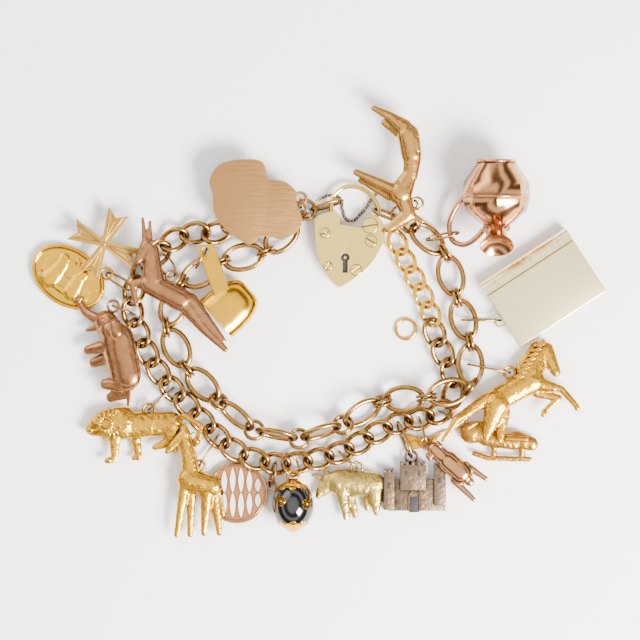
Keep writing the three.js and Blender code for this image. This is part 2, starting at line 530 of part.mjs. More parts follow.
function jug() {
  const body = solid(turned(JUG.body, JUG.sides));
  const lean = new THREE.Matrix4().makeRotationX(THREE.MathUtils.degToRad(180 - JUG.tilt)).setPosition(0, -8.6, 0.4);
  const trumpet = placed(turned(JUG.trumpet, JUG.sides), lean);
  const roll = THREE.MathUtils.degToRad(JUG.handleRoll);
  const path = JUG.handle.map(([a, y]) => [-a * Math.cos(roll), y, -a * Math.sin(roll)]);
  return body.add(trumpet).add(solid(wirePath(path, 0.7, 12)));
}
addCharm("jug", jug(), [43.9, 31.8, 8.6], null, rose());
loops.push({ name: "jug", at: new THREE.Vector3(34.6, 21.8, 4.9) });

const BOOK = { length: 25.6, depth: 16.6, thick: 4.6, cover: 0.7, inset: 0.8, turn: 33, at: [56.3, 7.2] };

function book() {
  const { length, depth, thick, cover, inset } = BOOK;
  const half = thick / 2;
  const shell = new THREE.Shape();
  shell.moveTo(0, -half).lineTo(depth, -half).lineTo(depth, -half + cover).lineTo(cover, -half + cover);
  shell.lineTo(cover, half - cover).lineTo(depth, half - cover).lineTo(depth, half).lineTo(0, half);
  shell.absarc(0, 0, half, Math.PI / 2, (3 * Math.PI) / 2, false);
  const covers = new THREE.ExtrudeGeometry(shell, { depth: length, bevelEnabled: false, curveSegments: 4 });
  const pages = new THREE.BoxGeometry(depth - inset, thick - cover, length - 2 * inset);
  pages.translate((depth - inset) / 2, 0, length / 2);
  const stand = (g) => g.rotateX(Math.PI / 2).rotateZ(-Math.PI / 2).translate(length / 2, depth / 2, 0);
  return solid(put(stand(covers), 0, 0, 0, BOOK.turn)).add(solid(put(stand(pages), 0, 0, 0, BOOK.turn)));
}
addCharm("book", book(), [...BOOK.at, 2.4], [-11.25, -7.3], pale());

const MEDAL = { halfLength: 10, halfWidth: 7.3, thick: 1.5, rim: 0.88, recess: 0.25, turn: -35 };
function medal() {
  const { halfLength: a, halfWidth: b, thick, rim, recess, turn } = MEDAL;
  const disc = (k, low, high) => solid(cylinder(1, low, high, 20).scale(a * k, b * k, 1).rotateZ(THREE.MathUtils.degToRad(turn)));
  return disc(1, -thick / 2, thick / 2).subtract(disc(rim, thick / 2 - recess, thick));
}
addCharm("medal", medal(), [-63, 10.8, 1.25], [9.6, 0.8], bright(), { rise: [0.04, 0] });

// Four arms, each with two points: [angle from the arm's middle in degrees, radius].
const CROSS = { turn: 65, point: 17.5, reach: 9.4, notch: 7.2, waist: 1.3, thick: 1 };
function maltese() {
  const outline = [];
  const at = (deg, r) => [r * Math.cos(THREE.MathUtils.degToRad(deg)), r * Math.sin(THREE.MathUtils.degToRad(deg))];
  for (let arm = 0; arm < 4; arm++) {
    const mid = CROSS.turn + 90 * arm;
    outline.push(at(mid - 45, CROSS.waist), at(mid - CROSS.point, CROSS.reach));
    outline.push(at(mid, CROSS.notch), at(mid + CROSS.point, CROSS.reach));
  }
  return solid(plate(outline, CROSS.thick, -CROSS.thick / 2));
}
addCharm("maltese_cross", maltese(), [-54, 19, 3.95], [6.9, -2.9], metal(0xc2a05a, 0.5));

const PLAQUE = [
  [-27.5, 35], [-25, 38.8], [-20, 40], [-14.5, 39.5], [-13, 35], [-8.8, 34.5], [-6, 32], [-5.8, 29.2], [-4.4, 25],
  [-5.8, 22], [-9.2, 20], [-14.5, 20.8], [-17.5, 18.8], [-20, 20], [-23, 22], [-26.2, 26.2], [-26.8, 31.2],
];
addCharm("plaque", solid(plate(PLAQUE, 1.3, 0)), [0, 0, 5.9], [-4.9, 30.4], metal(GOLD.brown, 0.5));
holes.push({ m: new THREE.Matrix4().setPosition(GATHERING_AT), half: 1.9, window: 1.2 });

// Bell sections from the mouth to the crown: [distance, half width, half thickness].
const BELL = { sections: [[0, 6.3, 3.5], [4, 6.1, 3.35], [8.4, 5.3, 2.9], [11.3, 3.6, 1.6]], wall: 0.55, turn: 41 };
const STRAP = [[-30.9, 18.2], [-26.6, 19.2], [-21.8, 5.6], [-25.6, 4.2]];

function bellHull(shrink, from, to) {
  const points = [];
  BELL.sections.forEach(([x, w, t], i) => {
    const at = i === 0 ? from : i === BELL.sections.length - 1 ? to : x;
    for (let k = 0; k < 12; k++) {
      const a = (Math.PI * k) / 6;
      points.push(new THREE.Vector3(at, (w - shrink) * Math.cos(a), (t - shrink) * Math.sin(a)));
    }
  });
  return new ConvexGeometry(points);
}

function bell() {
  const outer = solid(put(bellHull(0, 0, 11.3), 0, 0, 0, BELL.turn));
  const inner = solid(put(bellHull(BELL.wall, -1, 10.7), 0, 0, 0, BELL.turn));
  const [ox, oy] = [-26, 0.3];
  const strap = plate(STRAP.map(([x, y]) => [x - ox, y - oy]), 0.7, 1.95);
  const hole = put(cylinder(0.8, 1, 4, 8), -28.5 - ox, 17.3 - oy, 0);
  return outer.add(solid(strap)).subtract(solid(hole)).subtract(inner);
}
addCharm("cowbell", bell(), [-26, 0.3, 3.7], null, bright());
loops.push({ name: "cowbell", at: new THREE.Vector3(-28.5, 17.3, 6) });

const EGG = { half: 6.3, radius: 5.25, cut: 4.4, gap: 0.15 };
function eggRows(from, to, count) {
  const rows = [];
  for (let i = 0; i <= count; i++) {
    const y = from + ((to - from) * i) / count;
    rows.push([EGG.radius * Math.sqrt(Math.max(1 - (y / EGG.half) ** 2, 0)), y]);
  }
  return rows;
}
const eggBody = solid(turned([[0, -EGG.cut], ...eggRows(-EGG.cut, EGG.cut, 6), [0, EGG.cut]], 12));
const eggCap = () => turned([[0, EGG.cut + EGG.gap], ...eggRows(EGG.cut + EGG.gap, 6, 2), [0.9, 6.6], [0, 6.7]], 10);
const EGG_AT = [-6.75, -46.2, 5.4];
addCharm("egg", eggBody, EGG_AT, null, enamel(0x15120f));
addCharm("egg_cap_top", solid(eggCap()), EGG_AT, [0, 7.2], bright());
addCharm("egg_cap_bottom", solid(eggCap().rotateX(Math.PI)), EGG_AT, null, bright());

addCharm("enamel_disc", solid(cylinder(7.75, -0.65, 0.65, 20)), [-20.8, -43.2, 1.15], [8.4, 1.6], rose(), {
  rise: [0.05, 0],
});

const CASTLE = [
  [-7.2, -6.4], [7.4, -4.9], [7.3, 5.6], [4.4, 5.6], [4.2, 1.6], [2.4, 1.6], [2.4, 6.2], [-4.2, 6.2], [-4.4, 1.4],
  [-6.6, 1.4], [-6.8, 4.4], [-8.4, 4.4],
];
const castleGate = [[-2.6, -6.6], [1.2, -6.6], [1.2, -2.4], [-2.6, -2.4]];
addCharm(
  "castle", solid(plate(CASTLE, 3.4, -1.7)).subtract(solid(plate(castleGate, 2, 0.9))), [24.2, -41.4, 1.8],
  [-1.4, 7.2], metal(0x8c7a70, 0.45),
);

const LEAF = [[21.4, -28.6], [26.4, -29.4], [32, -27.4], [27.6, -31.2], [23.4, -32.4], [21.2, -30.6]];
addCharm("leaf", solid(plate(LEAF, 0.9, 0)), [0, 0, 0.1], null, metal(0xd8bc50, 0.3));

for (const { name, at } of loops) addNode(name + "_ring", hangRing(at), antique());

// The group is moved so that the middle of its bounding box's bottom is the origin.
const extent = new THREE.Box3().setFromObject(bracelet);
const centre = extent.getCenter(new THREE.Vector3());
bracelet.position.set(-centre.x, -centre.y, -extent.min.z);

export default bracelet;
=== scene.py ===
"""A gold charm bracelet lying open on a table: two chain strands, a heart padlock and nineteen charms.

Lengths are millimetres in the plan frame, whose origin is near the middle of the wrist opening.
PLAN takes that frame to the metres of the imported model, and every piece is made in place.
"""

import math

import bmesh
import bpy
from mathutils import Matrix, Vector, noise


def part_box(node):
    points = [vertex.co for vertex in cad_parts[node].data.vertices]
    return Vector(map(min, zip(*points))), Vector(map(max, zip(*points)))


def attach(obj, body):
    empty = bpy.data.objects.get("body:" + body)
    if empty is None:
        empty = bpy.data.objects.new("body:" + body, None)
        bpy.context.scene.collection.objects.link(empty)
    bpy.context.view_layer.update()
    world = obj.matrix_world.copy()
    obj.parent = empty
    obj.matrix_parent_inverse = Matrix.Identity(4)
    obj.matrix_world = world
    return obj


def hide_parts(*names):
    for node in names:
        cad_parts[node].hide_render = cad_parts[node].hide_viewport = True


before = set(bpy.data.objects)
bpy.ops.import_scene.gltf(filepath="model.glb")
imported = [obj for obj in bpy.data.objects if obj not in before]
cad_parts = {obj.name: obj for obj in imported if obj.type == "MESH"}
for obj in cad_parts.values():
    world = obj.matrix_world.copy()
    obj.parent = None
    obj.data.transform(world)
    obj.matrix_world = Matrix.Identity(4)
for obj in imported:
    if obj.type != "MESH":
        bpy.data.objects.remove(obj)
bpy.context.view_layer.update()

MM = 0.001
LOCK_LOW = Vector((-1.3, 8.2, 0.05))
LOCK_CORNER = Vector(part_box("padlock_body")[0]) / MM
PLAN = Matrix.Scale(MM, 4) @ Matrix.Translation(LOCK_CORNER - LOCK_LOW)
CREATURE_FLAT = 0.6


# ---- metals and enamels --------------------------------------------------------------------------------

def new_group(name, inputs, outputs):
    """A shader node group with named sockets, its input and output nodes."""
    group = bpy.data.node_groups.new(name, "ShaderNodeTree")
    for label, kind, value in inputs:
        socket = group.interface.new_socket(label, in_out="INPUT", socket_type=kind)
        socket.default_value = value
    for label, kind in outputs:
        group.interface.new_socket(label, in_out="OUTPUT", socket_type=kind)
    return group, group.nodes.new("NodeGroupInput"), group.nodes.new("NodeGroupOutput")


def add_node(tree, kind, **settings):
    """A node with its settings; a setting that names an input sets that socket's value."""
    node = tree.nodes.new(kind)
    for key, value in settings.items():
        if key.startswith("in_"):
            label = key[3:].replace("_", " ")
            node.inputs[int(label) if label.isdigit() else label].default_value = value
        else:
            setattr(node, key, value)
    return node


def recess_group():
    """Dark tarnish left in the hollows, painted shade where nearby metal closes in (between links and at
    contacts), bright metal on the ridges, and cloudy wear between them.
    """
    group, given, out = new_group(
        "tarnish and painted shade in recesses",
        [("Metal", "NodeSocketColor", (1, 1, 1, 1)), ("Tarnish", "NodeSocketColor", (0, 0, 0, 1)),
         ("Depth", "NodeSocketFloat", 0.5), ("Cloud Size", "NodeSocketFloat", 300.0),
         ("Cloud", "NodeSocketFloat", 0.3), ("Polish", "NodeSocketFloat", 0.2)],
        [("Color", "NodeSocketColor"), ("Roughness", "NodeSocketFloat")],
    )
    link = group.links.new
    where = add_node(group, "ShaderNodeTexCoord")
    clouds = add_node(group, "ShaderNodeTexNoise", in_Detail=4.0, in_Roughness=0.6)
    link(where.outputs["Object"], clouds.inputs["Vector"])
    link(given.outputs["Cloud Size"], clouds.inputs["Scale"])
    form = add_node(group, "ShaderNodeNewGeometry")
    hollow = add_node(group, "ShaderNodeMapRange", in_From_Min=0.5, in_From_Max=0.4, in_To_Min=0.0,
        in_To_Max=1.0)
    link(form.outputs["Pointiness"], hollow.inputs["Value"])
    deep = add_node(group, "ShaderNodeMath", operation="MULTIPLY")
    link(hollow.outputs["Result"], deep.inputs[0])
    link(given.outputs["Depth"], deep.inputs[1])
    patch = add_node(group, "ShaderNodeMapRange", in_From_Min=0.42, in_From_Max=0.72)
    link(clouds.outputs["Fac"], patch.inputs["Value"])
    cloudy = add_node(group, "ShaderNodeMath", operation="MULTIPLY")
    link(patch.outputs["Result"], cloudy.inputs[0])
    link(given.outputs["Cloud"], cloudy.inputs[1])
    # Ambient occlusion: the metal is painted darker where nearby surfaces close in, as between links. This
    # is painted shade, added to the tarnish in the hollows.
    occlusion_probe = add_node(group, "ShaderNodeAmbientOcclusion", samples=4, in_Distance=0.0016)
    occlusion_shade = add_node(group, "ShaderNodeMapRange", in_From_Min=0.92, in_From_Max=0.35, in_To_Min=0.0,
        in_To_Max=0.9)
    link(occlusion_probe.outputs["AO"], occlusion_shade.inputs["Value"])
    tarnish_and_occlusion_shade = add_node(group, "ShaderNodeMath", operation="MAXIMUM")
    link(deep.outputs[0], tarnish_and_occlusion_shade.inputs[0])
    link(occlusion_shade.outputs["Result"], tarnish_and_occlusion_shade.inputs[1])
    dark = add_node(group, "ShaderNodeMath", operation="ADD", use_clamp=True)
    link(tarnish_and_occlusion_shade.outputs[0], dark.inputs[0])
    link(cloudy.outputs[0], dark.inputs[1])
    mixed = add_node(group, "ShaderNodeMix", data_type="RGBA")
    link(dark.outputs[0], mixed.inputs["Factor"])
    link(given.outputs["Metal"], mixed.inputs[6])
    link(given.outputs["Tarnish"], mixed.inputs[7])
    link(mixed.outputs[2], out.inputs["Color"])
    rough = add_node(group, "ShaderNodeMath", operation="MULTIPLY_ADD", in_1=0.3)
    link(dark.outputs[0], rough.inputs[0])
    link(given.outputs["Polish"], rough.inputs[2])
    link(rough.outputs[0], out.inputs["Roughness"])
    return group


def surface_group():
    """The fine relief of a cast, chased or brushed surface: blotches and lines, as a height."""
    group, given, out = new_group(
        "chased surface",
        [("Size", "NodeSocketFloat", 900.0), ("Lines", "NodeSocketFloat", 0.0), ("Across",
        "NodeSocketFloat", 1.0)],
        [("Height", "NodeSocketFloat")],
    )
    link = group.links.new
    where = add_node(group, "ShaderNodeTexCoord")
    squeeze = add_node(group, "ShaderNodeCombineXYZ", in_Y=1.0, in_Z=1.0)
    link(given.outputs["Across"], squeeze.inputs["X"])
    stretched = add_node(group, "ShaderNodeVectorMath", operation="MULTIPLY")
    link(where.outputs["Object"], stretched.inputs[0])
    link(squeeze.outputs[0], stretched.inputs[1])
    blotches = add_node(group, "ShaderNodeTexNoise", in_Detail=3.0, in_Roughness=0.55)
    link(stretched.outputs[0], blotches.inputs["Vector"])
    link(given.outputs["Size"], blotches.inputs["Scale"])
    lines = add_node(group, "ShaderNodeTexWave", in_Distortion=6.0, in_Detail=2.0, in_Detail_Scale=2.0)
    link(where.outputs["Object"], lines.inputs["Vector"])
    link(given.outputs["Size"], lines.inputs["Scale"])
    blend = add_node(group, "ShaderNodeMix")
    link(given.outputs["Lines"], blend.inputs["Factor"])
    link(blotches.outputs["Fac"], blend.inputs[2])
    link(lines.outputs["Fac"], blend.inputs[3])
    link(blend.outputs[0], out.inputs["Height"])
    return group


RECESS = recess_group()
SURFACE = surface_group()


def linear(hex_code):
    """The linear colour of a six-digit hex code."""
    channels = [int(hex_code[i:i + 2], 16) / 255 for i in (0, 2, 4)]
    return (*[c / 12.92 if c <= 0.04045 else ((c + 0.055) / 1.055) ** 2.4 for c in channels], 1)


def group_node(tree, group, **values):
    node = add_node(tree, "ShaderNodeGroup", node_tree=group)
    for label, value in values.items():
        node.inputs[label.replace("_", " ")].default_value = value
    return node


def gold(name, metal, tarnish_and_shade, polish=0.2, depth=0.6, cloud=0.25, size=900.0, relief=0.15, lines=0.0,
    across=1.0):
    """A gold of one colour with its tarnish colour, which also paints the shade where nearby metal closes
    in; relief is how strongly its surface is worked.
    """
    material = bpy.data.materials.new(name)
    material.use_nodes = True
    tree = material.node_tree
    shader = tree.nodes["Principled BSDF"]
    shader.inputs["Metallic"].default_value = 1.0
    wear = group_node(tree, RECESS, Metal=linear(metal), Tarnish=linear(tarnish_and_shade), Depth=depth, Cloud=cloud,
                      Polish=polish)
    tree.links.new(wear.outputs["Color"], shader.inputs["Base Color"])
    tree.links.new(wear.outputs["Roughness"], shader.inputs["Roughness"])
    worked = group_node(tree, SURFACE, Size=size, Lines=lines, Across=across)
    bump = add_node(tree, "ShaderNodeBump", in_Strength=relief, in_Distance=0.0002)
    tree.links.new(worked.outputs["Height"], bump.inputs["Height"])
    tree.links.new(bump.outputs["Normal"], shader.inputs["Normal"])
    return material


def gloss(name, color, roughness=0.08):
    """Glossy enamel and polished stone; also the near-black gloss that paints shade in openings."""
    material = bpy.data.materials.new(name)
    material.use_nodes = True
    shader = material.node_tree.nodes["Principled BSDF"]
    shader.inputs["Base Color"].default_value = linear(color)
    shader.inputs["Roughness"].default_value = roughness
    shader.inputs["Coat Weight"].default_value = 0.6
    return material


ANTIQUE = gold("antique_gold", "ad8244", "1c0f05", polish=0.17, depth=1.0, cloud=0.4, size=500, relief=0.12)
BRIGHT = gold("bright_gold", "e2a824", "7a4a12", polish=0.16, cloud=0.15, size=600, relief=0.1)
CHASED = gold("chased_yellow_gold", "dca22a", "2c1806", polish=0.2, depth=1.0, cloud=0.35, size=1100,
    relief=0.75)
ROSE = gold("rose_gold", "c68c5e", "4a2616", polish=0.15, cloud=0.2, size=600, relief=0.12)
ROSE_CHASED = gold("chased_rose_gold", "a8754c", "33200f", polish=0.24, depth=0.9, cloud=0.35, size=500,
    relief=0.12)
PALE = gold("pale_gold", "f0d070", "8a6a38", polish=0.12, cloud=0.1, size=500, relief=0.05)
CREAM = gold("cream_gold", "fae6ac", "9a7a44", polish=0.24, depth=0.5, cloud=0.06, size=400, relief=0.03)
GREEN = gold("pale_green_gold", "c4a557", "4a3c20", polish=0.26, depth=0.9, cloud=0.35, size=1300,
    relief=0.8)
WARM = gold("warm_gold", "c6924a", "4f2f14", polish=0.2, depth=0.9, cloud=0.3, size=800, relief=0.4)
OLD = gold("old_gold", "b88430", "3f2810", polish=0.28, depth=0.9, cloud=0.4, size=1000, relief=0.5)
MATTE = gold("matte_khaki_gold", "b98f42", "7c5a28", polish=0.42, cloud=0.4, size=1500, relief=0.3)
BROWN = gold("brushed_brown_gold", "a67a48", "7a5c3c", polish=0.4, cloud=0.3, size=1400, relief=0.5,
    across=0.12)
GREY = gold("oxidised_gold", "7d6752", "1c1511", polish=0.34, depth=1.0, cloud=0.5, size=1000, relief=0.8)
LEAVES = gold("book_leaves", "d8bc86", "6a4a24", polish=0.35, cloud=0.2, size=1800, relief=0.8, lines=1.0)
# Near-black gloss: painted shade inside the padlock's keyhole and in the castle's door and windows.
OPENING_SHADE = gloss("keyhole_shadow", "120b06", 0.6)
# Darker gold: the fine safety chain and the line along the book's cover by its spine, and painted shade in
# the padlock's rivet slots.
DARK_GOLD_AND_SHADE = gold("dark_gold", "7d5a34", "2a1a0c", polish=0.3, cloud=0.5)
BLACK = gloss("black_enamel", "0b0a0a")
WHITE = gloss("white_enamel", "efe6dc", 0.2)
RUBY = gloss("ruby", "b0102a", 0.05)


# ---- making pieces -------------------------------------------------------------------------------------

def piece(name, form, nodes, slot, *materials, body="bracelet", crease=40):
    """The finished object: form is a bmesh in the plan frame, whose faces index the materials."""
    bmesh.ops.remove_doubles(form, verts=form.verts, dist=1e-4)
    mesh = bpy.data.meshes.new(name)
    form.to_mesh(mesh)
    form.free()
    mesh.transform(PLAN)
    for material in materials:
        mesh.materials.append(material)
    mesh.shade_smooth()
    mesh.set_sharp_from_angle(angle=math.radians(crease))
    made = bpy.data.objects.new(name, mesh)
    bpy.context.scene.collection.objects.link(made)
    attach(made, body)
    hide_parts(*nodes)
    return made


def absorb(form, other, matrix=Matrix(), material=0):
    """Moves another bmesh's faces into form."""
    for face in other.faces:
        face.material_index = material
    mesh = bpy.data.meshes.new("part")
    other.to_mesh(mesh)
    other.free()
    mesh.transform(matrix)
    form.from_mesh(mesh)
    bpy.data.meshes.remove(mesh)


def wire(form, points, radius, closed=False, matrix=Matrix(), material=0, sides=3):
    """Round wire along points; radius is one number or one for each point."""
    curve = bpy.data.curves.new("wire", "CURVE")
    curve.dimensions = "3D"
    curve.bevel_depth = 1.0
    curve.bevel_resolution = sides
    curve.use_fill_caps = not closed
    spline = curve.splines.new("POLY")
    spline.points.add(len(points) - 1)
    radii = radius if isinstance(radius, list) else [radius] * len(points)
    for knot, point, thick in zip(spline.points, points, radii):
        knot.co = (*point, 1)
        knot.radius = thick
    spline.use_cyclic_u = closed
    holder = bpy.data.objects.new("wire", curve)
    mesh = bpy.data.meshes.new_from_object(holder)
    bpy.data.objects.remove(holder)
    bpy.data.curves.remove(curve)
    part = bmesh.new()
    part.from_mesh(mesh)
    bpy.data.meshes.remove(mesh)
    bmesh.ops.remove_doubles(part, verts=part.verts, dist=1e-4)
    bmesh.ops.recalc_face_normals(part, faces=part.faces)
    absorb(form, part, matrix, material)


def around(count, start=0.0):
    return [start + 2 * math.pi * i / count for i in range(count)]


def ellipse(a, b, count=40, z=0.0):
    return [(a * math.cos(t), b * math.sin(t), z) for t in around(count)]


def ball(form, centre, radius, flat=1.0, material=0, detail=2):
    part = bmesh.new()
    matrix = Matrix.Translation(centre) @ Matrix.Diagonal((1, 1, flat, 1))
    bmesh.ops.create_icosphere(part, subdivisions=detail, radius=radius, matrix=matrix)
    absorb(form, part, material=material)


def limb(form, row, flat=CREATURE_FLAT, material=0):
    """A tapered limb with round ends, flattened: [x, y, radius, x, y, radius, height, height]."""
    x0, y0, r0, x1, y1, r1, *heights = row
    low = heights[0] if heights else 0
    high = heights[1] if len(heights) > 1 else low
    part = bmesh.new()
    for x, y, r, h in ((x0, y0, r0, low), (x1, y1, r1, high)):
        matrix = Matrix.Translation((x, y, h)) @ Matrix.Diagonal((1, 1, flat, 1))
        bmesh.ops.create_icosphere(part, subdivisions=3, radius=r, matrix=matrix)
    bmesh.ops.delete(part, geom=part.faces[:], context="FACES_ONLY")
    hull = bmesh.ops.convex_hull(part, input=part.verts[:], use_existing_faces=False)
    inside = [v for v in hull["geom_interior"] + hull["geom_unused"] if isinstance(v, bmesh.types.BMVert)]
    bmesh.ops.delete(part, geom=list(set(inside)), context="VERTS")
    absorb(form, part, material=material)


def melt(form, voxel=0.24, smoothing=2):
    """Melts overlapping parts into one cast skin."""
    mesh = bpy.data.meshes.new("melt")
    form.to_mesh(mesh)
    form.free()
    holder = bpy.data.objects.new("melt", mesh)
    bpy.context.scene.collection.objects.link(holder)
    skin = holder.modifiers.new("skin", "REMESH")
    skin.mode = "VOXEL"
    skin.voxel_size = voxel
    graph = bpy.context.evaluated_depsgraph_get()
    cast = bpy.data.meshes.new_from_object(holder.evaluated_get(graph))
    bpy.data.objects.remove(holder)
    bpy.data.meshes.remove(mesh)
    made = bmesh.new()
    made.from_mesh(cast)
    bpy.data.meshes.remove(cast)
    for _ in range(smoothing):
        bmesh.ops.smooth_vert(made, verts=made.verts, factor=0.5, use_axis_x=True, use_axis_y=True,
            use_axis_z=True)
    return made


def chase(form, size, depth):
    """Works a cast skin with small hollows: size is their spacing and depth how far they reach."""
    form.normal_update()
    for vert in form.verts:
        amount = noise.fractal(vert.co / size, 1.0, 2.0, 3)
        vert.co += vert.normal * (depth * amount)


def lean(place, rise=(0, 0)):
    """A charm's place, and its climb per millimetre of its X and of its Y."""
    tip = Matrix.Rotation(math.atan(rise[1]), 4, "X") @ Matrix.Rotation(-math.atan(rise[0]), 4, "Y")
    return Matrix.Translation(place) @ tip


def plate(outline, low, high, bevel=0.15, holes=(), segments=2):
    """A flat plate with rounded edges: closed outlines as [x, y] points."""
    part = bmesh.new()
    edges = []
    for loop in (outline, *holes):
        verts = [part.verts.new((x, y, low)) for x, y in loop]
        edges += [part.edges.new((a, b)) for a, b in zip(verts, verts[1:] + verts[:1])]
    bmesh.ops.triangle_fill(part, use_beauty=True, use_dissolve=False, edges=edges)
    raised = bmesh.ops.extrude_face_region(part, geom=part.faces[:])
    top = [v for v in raised["geom"] if isinstance(v, bmesh.types.BMVert)]
    bmesh.ops.translate(part, verts=top, vec=(0, 0, high - low))
    bmesh.ops.recalc_face_normals(part, faces=part.faces)
    if bevel:
        rims = [
            e for e in part.edges
            if e.calc_face_angle(0) > 1.2 and abs(e.verts[0].co.z - e.verts[1].co.z) < 1e-4
        ]
        bmesh.ops.bevel(part, geom=rims, offset=bevel, offset_type="OFFSET", segments=segments, profile=0.5,
                        affect="EDGES", material=-1, clamp_overlap=True)
    return part


def smooth_outline(points, steps=6, sharp=()):
    """A closed curve through points, with corners kept at the indices in sharp."""
    made = []
    count = len(points)
    for i in range(count):
        before, here = Vector(points[i - 1]), Vector(points[i])
        after, beyond = Vector(points[(i + 1) % count]), Vector(points[(i + 2) % count])
        leave = (after - before) / 2 if i not in sharp else (after - here) * 0.6
        arrive = (beyond - here) / 2 if (i + 1) % count not in sharp else (after - here) * 0.6
        for k in range(steps):
            t = k / steps
            made.append((
                here * (2 * t ** 3 - 3 * t ** 2 + 1) + leave * (t ** 3 - 2 * t ** 2 + t)
                + after * (3 * t ** 2 - 2 * t ** 3) + arrive * (t ** 3 - t ** 2)
            ).to_tuple())
    return made


def turned(profile, steps=40, merge=True):
    """A lathe form about Y: rows of [radius, distance]."""
    part = bmesh.new()
    verts = [part.verts.new((r, y, 0)) for r, y in profile]
    edges = [part.edges.new(pair) for pair in zip(verts, verts[1:])]
    bmesh.ops.spin(part, geom=verts + edges, cent=(0, 0, 0), axis=(0, 1, 0), angle=2 * math.pi, steps=steps,
                   use_merge=merge)
    bmesh.ops.remove_doubles(part, verts=part.verts, dist=1e-3)
    bmesh.ops.recalc_face_normals(part, faces=part.faces)
    return part


def bevelled_box(form, low, high, bevel, matrix, material=0):
    part = bmesh.new()
    centre = [(a + b) / 2 for a, b in zip(low, high)]
    size = [b - a for a, b in zip(low, high)]
    bmesh.ops.create_cube(part, size=1, matrix=Matrix.Translation(centre) @ Matrix.Diagonal((*size, 1)))
    if bevel:
        bmesh.ops.bevel(part, geom=part.edges[:], offset=bevel, offset_type="OFFSET", segments=3,
            profile=0.5,
                        affect="EDGES", material=-1)
    absorb(form, part, matrix, material)


# ---- strands -------------------------------------------------------------------------------------------

CURB = {"half_length": 3.5, "half_width": 2.35, "twist": 0.85, "wire": 0.65, "pitch": 5.45}
FLAT_CURB = {"half_length": 3.1, "half_width": 2.1, "twist": 0.75, "wire": 0.54, "pitch": 4.9}
OVAL = {"half_length": 4.9, "half_width": 3.0, "wire": 0.67}
TWIN = {"radius": 2.35, "wire": 0.4, "apart": 0.48, "reach": 0.82}
CURB_LINKS = 32
OVALS = 16
GATHERING_AT = Vector((-3.6, 27.6, 2.6))
BOW_HOLD = Vector((14.6, 27.1, 2.4))

# Rows are x, y, z and the roll in degrees.
CURB_ROUTE = [
    (-11, 27.9, 2.15, 0), (-16.4, 27.4, 2.15, 0), (-21, 24.8, 2.15, 0), (-25.4, 22, 2.15, 0),
    (-30, 21.8, 2.15, 0), (-34.4, 21.6, 2.15, 0), (-38.2, 18.4, 2.15, 0), (-42.5, 14.6, 2.15, 0),
    (-46, 9, 2.15, 0), (-47, 3, 2.15, 0), (-45.6, -2.5, 2.15, 0), (-43.3, -8, 2.15, 0), (-40.4, -13, 2.15,
    0),
    (-36.6, -17.6, 2.15, 0), (-32.4, -22, 2.15, 0), (-27.8, -26.8, 2.3, 0), (-23, -31.4, 3.2, 0),
    (-17.4, -34.4, 3.2, 0), (-11.2, -35.9, 2.4, 0), (-5, -35.6, 2.15, 0), (0.8, -34.4, 2.15, 0),
    (6.2, -32.6, 2.15, 0), (10.8, -30.2, 2.15, 0), (15, -27.8, 2.15, 0), (19.6, -25.8, 2.15, 0),
    (24.4, -24.8, 2.15, 0), (28.8, -23.8, 2.15, 0), (32.4, -20.6, 2.15, 0), (33.6, -16, 2.15, 0),
    (32.2, -11.6, 2.15, 0), (30.2, -7, 2.15, 0), (28.4, -2.5, 2.15, 0), (27.4, 1.2, 2.15, 0),
]
OVAL_ROUTE = [
    (-5.6, 25.1, 2.8, 0), (-9.2, 20.9, 2.8, 0), (-13, 17.2, 2.8, 0), (-18, 15.3, 2.8, 0), (-23.2, 14.8,
    2.8, 0),
    (-28.2, 13.6, 2.8, 0), (-32.6, 11.2, 2.8, 0), (-36, 7.4, 2.8, 0), (-38, 2.6, 2.8, 0), (-38.4, -2.4,
    2.8, 0),
    (-36.8, -7.2, 2.8, 0), (-34, -11.4, 2.8, 0), (-30.1, -14.9, 2.8, 10), (-26.6, -18.7, 3, 30),
    (-23, -22.8, 3.4, 50), (-18.6, -26.2, 3.9, 70), (-14, -28.6, 4, 75), (-9, -29.7, 4, 75), (-4, -29.5, 4,
    75),
    (1.2, -28.2, 4, 70), (6, -26, 3.7, 60), (10.8, -23, 3.3, 40), (15.4, -20.2, 3, 20), (20.4, -18.8, 3.8,
    0),
    (25.8, -19.2, 5.4, 0), (31, -19.8, 6.4, 0), (35.6, -18.6, 5.2, 0), (38.6, -15, 3.6, 0),
    (38.8, -10.2, 2.8, 0), (37.4, -5.2, 2.8, 0), (35.8, -0.6, 2.8, 0), (34.6, 4, 2.8, 0), (33.6, 8.8, 2.8,
    0),
    (32.2, 14, 2.8, 0), (29.8, 19, 2.8, 12), (26.3, 21.7, 3.1, 36), (21.6, 24.6, 3.55, 58),
]
FLAT_CURB_ROUTE = [
    (27.7, 1.55, 2.1, 0), (25.9, 6.2, 2.1, 0), (23.7, 10.6, 2.1, 0), (21.4, 15, 2.1, 0), (19.3, 19.6, 2.1,
    0),
    (18.6, 24, 2.1, 0),
]
FLAT_LINKS = 5
FILED_FACE = 0.62
CURB_SEGMENTS = [(0, 2), (3, 8), (9, 14), (15, 20), (21, 25), (26, 31)]
OVAL_SEGMENTS = [(0, 1), (2, 5), (6, 8), (9, 10), (11, 13), (14, 15)]


def route_point(points, t):
    """A point of the centripetal spline through points, with t from 0 to 1 shared evenly by its spans."""
    spans = len(points) - 1
    k = min(int(t * spans), spans - 1)
    w = t * spans - k
    b, c = points[k], points[k + 1]
    a = points[k - 1] if k else b * 2 - c
    d = points[k + 2] if k + 2 <= spans else c * 2 - b
    ab, bc, cd = (math.sqrt((q - p).length) for p, q in ((a, b), (b, c), (c, d)))
    leave = ((b - a) / ab - (c - a) / (ab + bc) + (c - b) / bc) * bc
    arrive = ((c - b) / bc - (d - b) / (bc + cd) + (d - c) / cd) * bc
    square = (b * -3 + c * 3 - leave * 2 - arrive) * w ** 2
    cube = (b * 2 - c * 2 + leave + arrive) * w ** 3
    return b + leave * w + square + cube


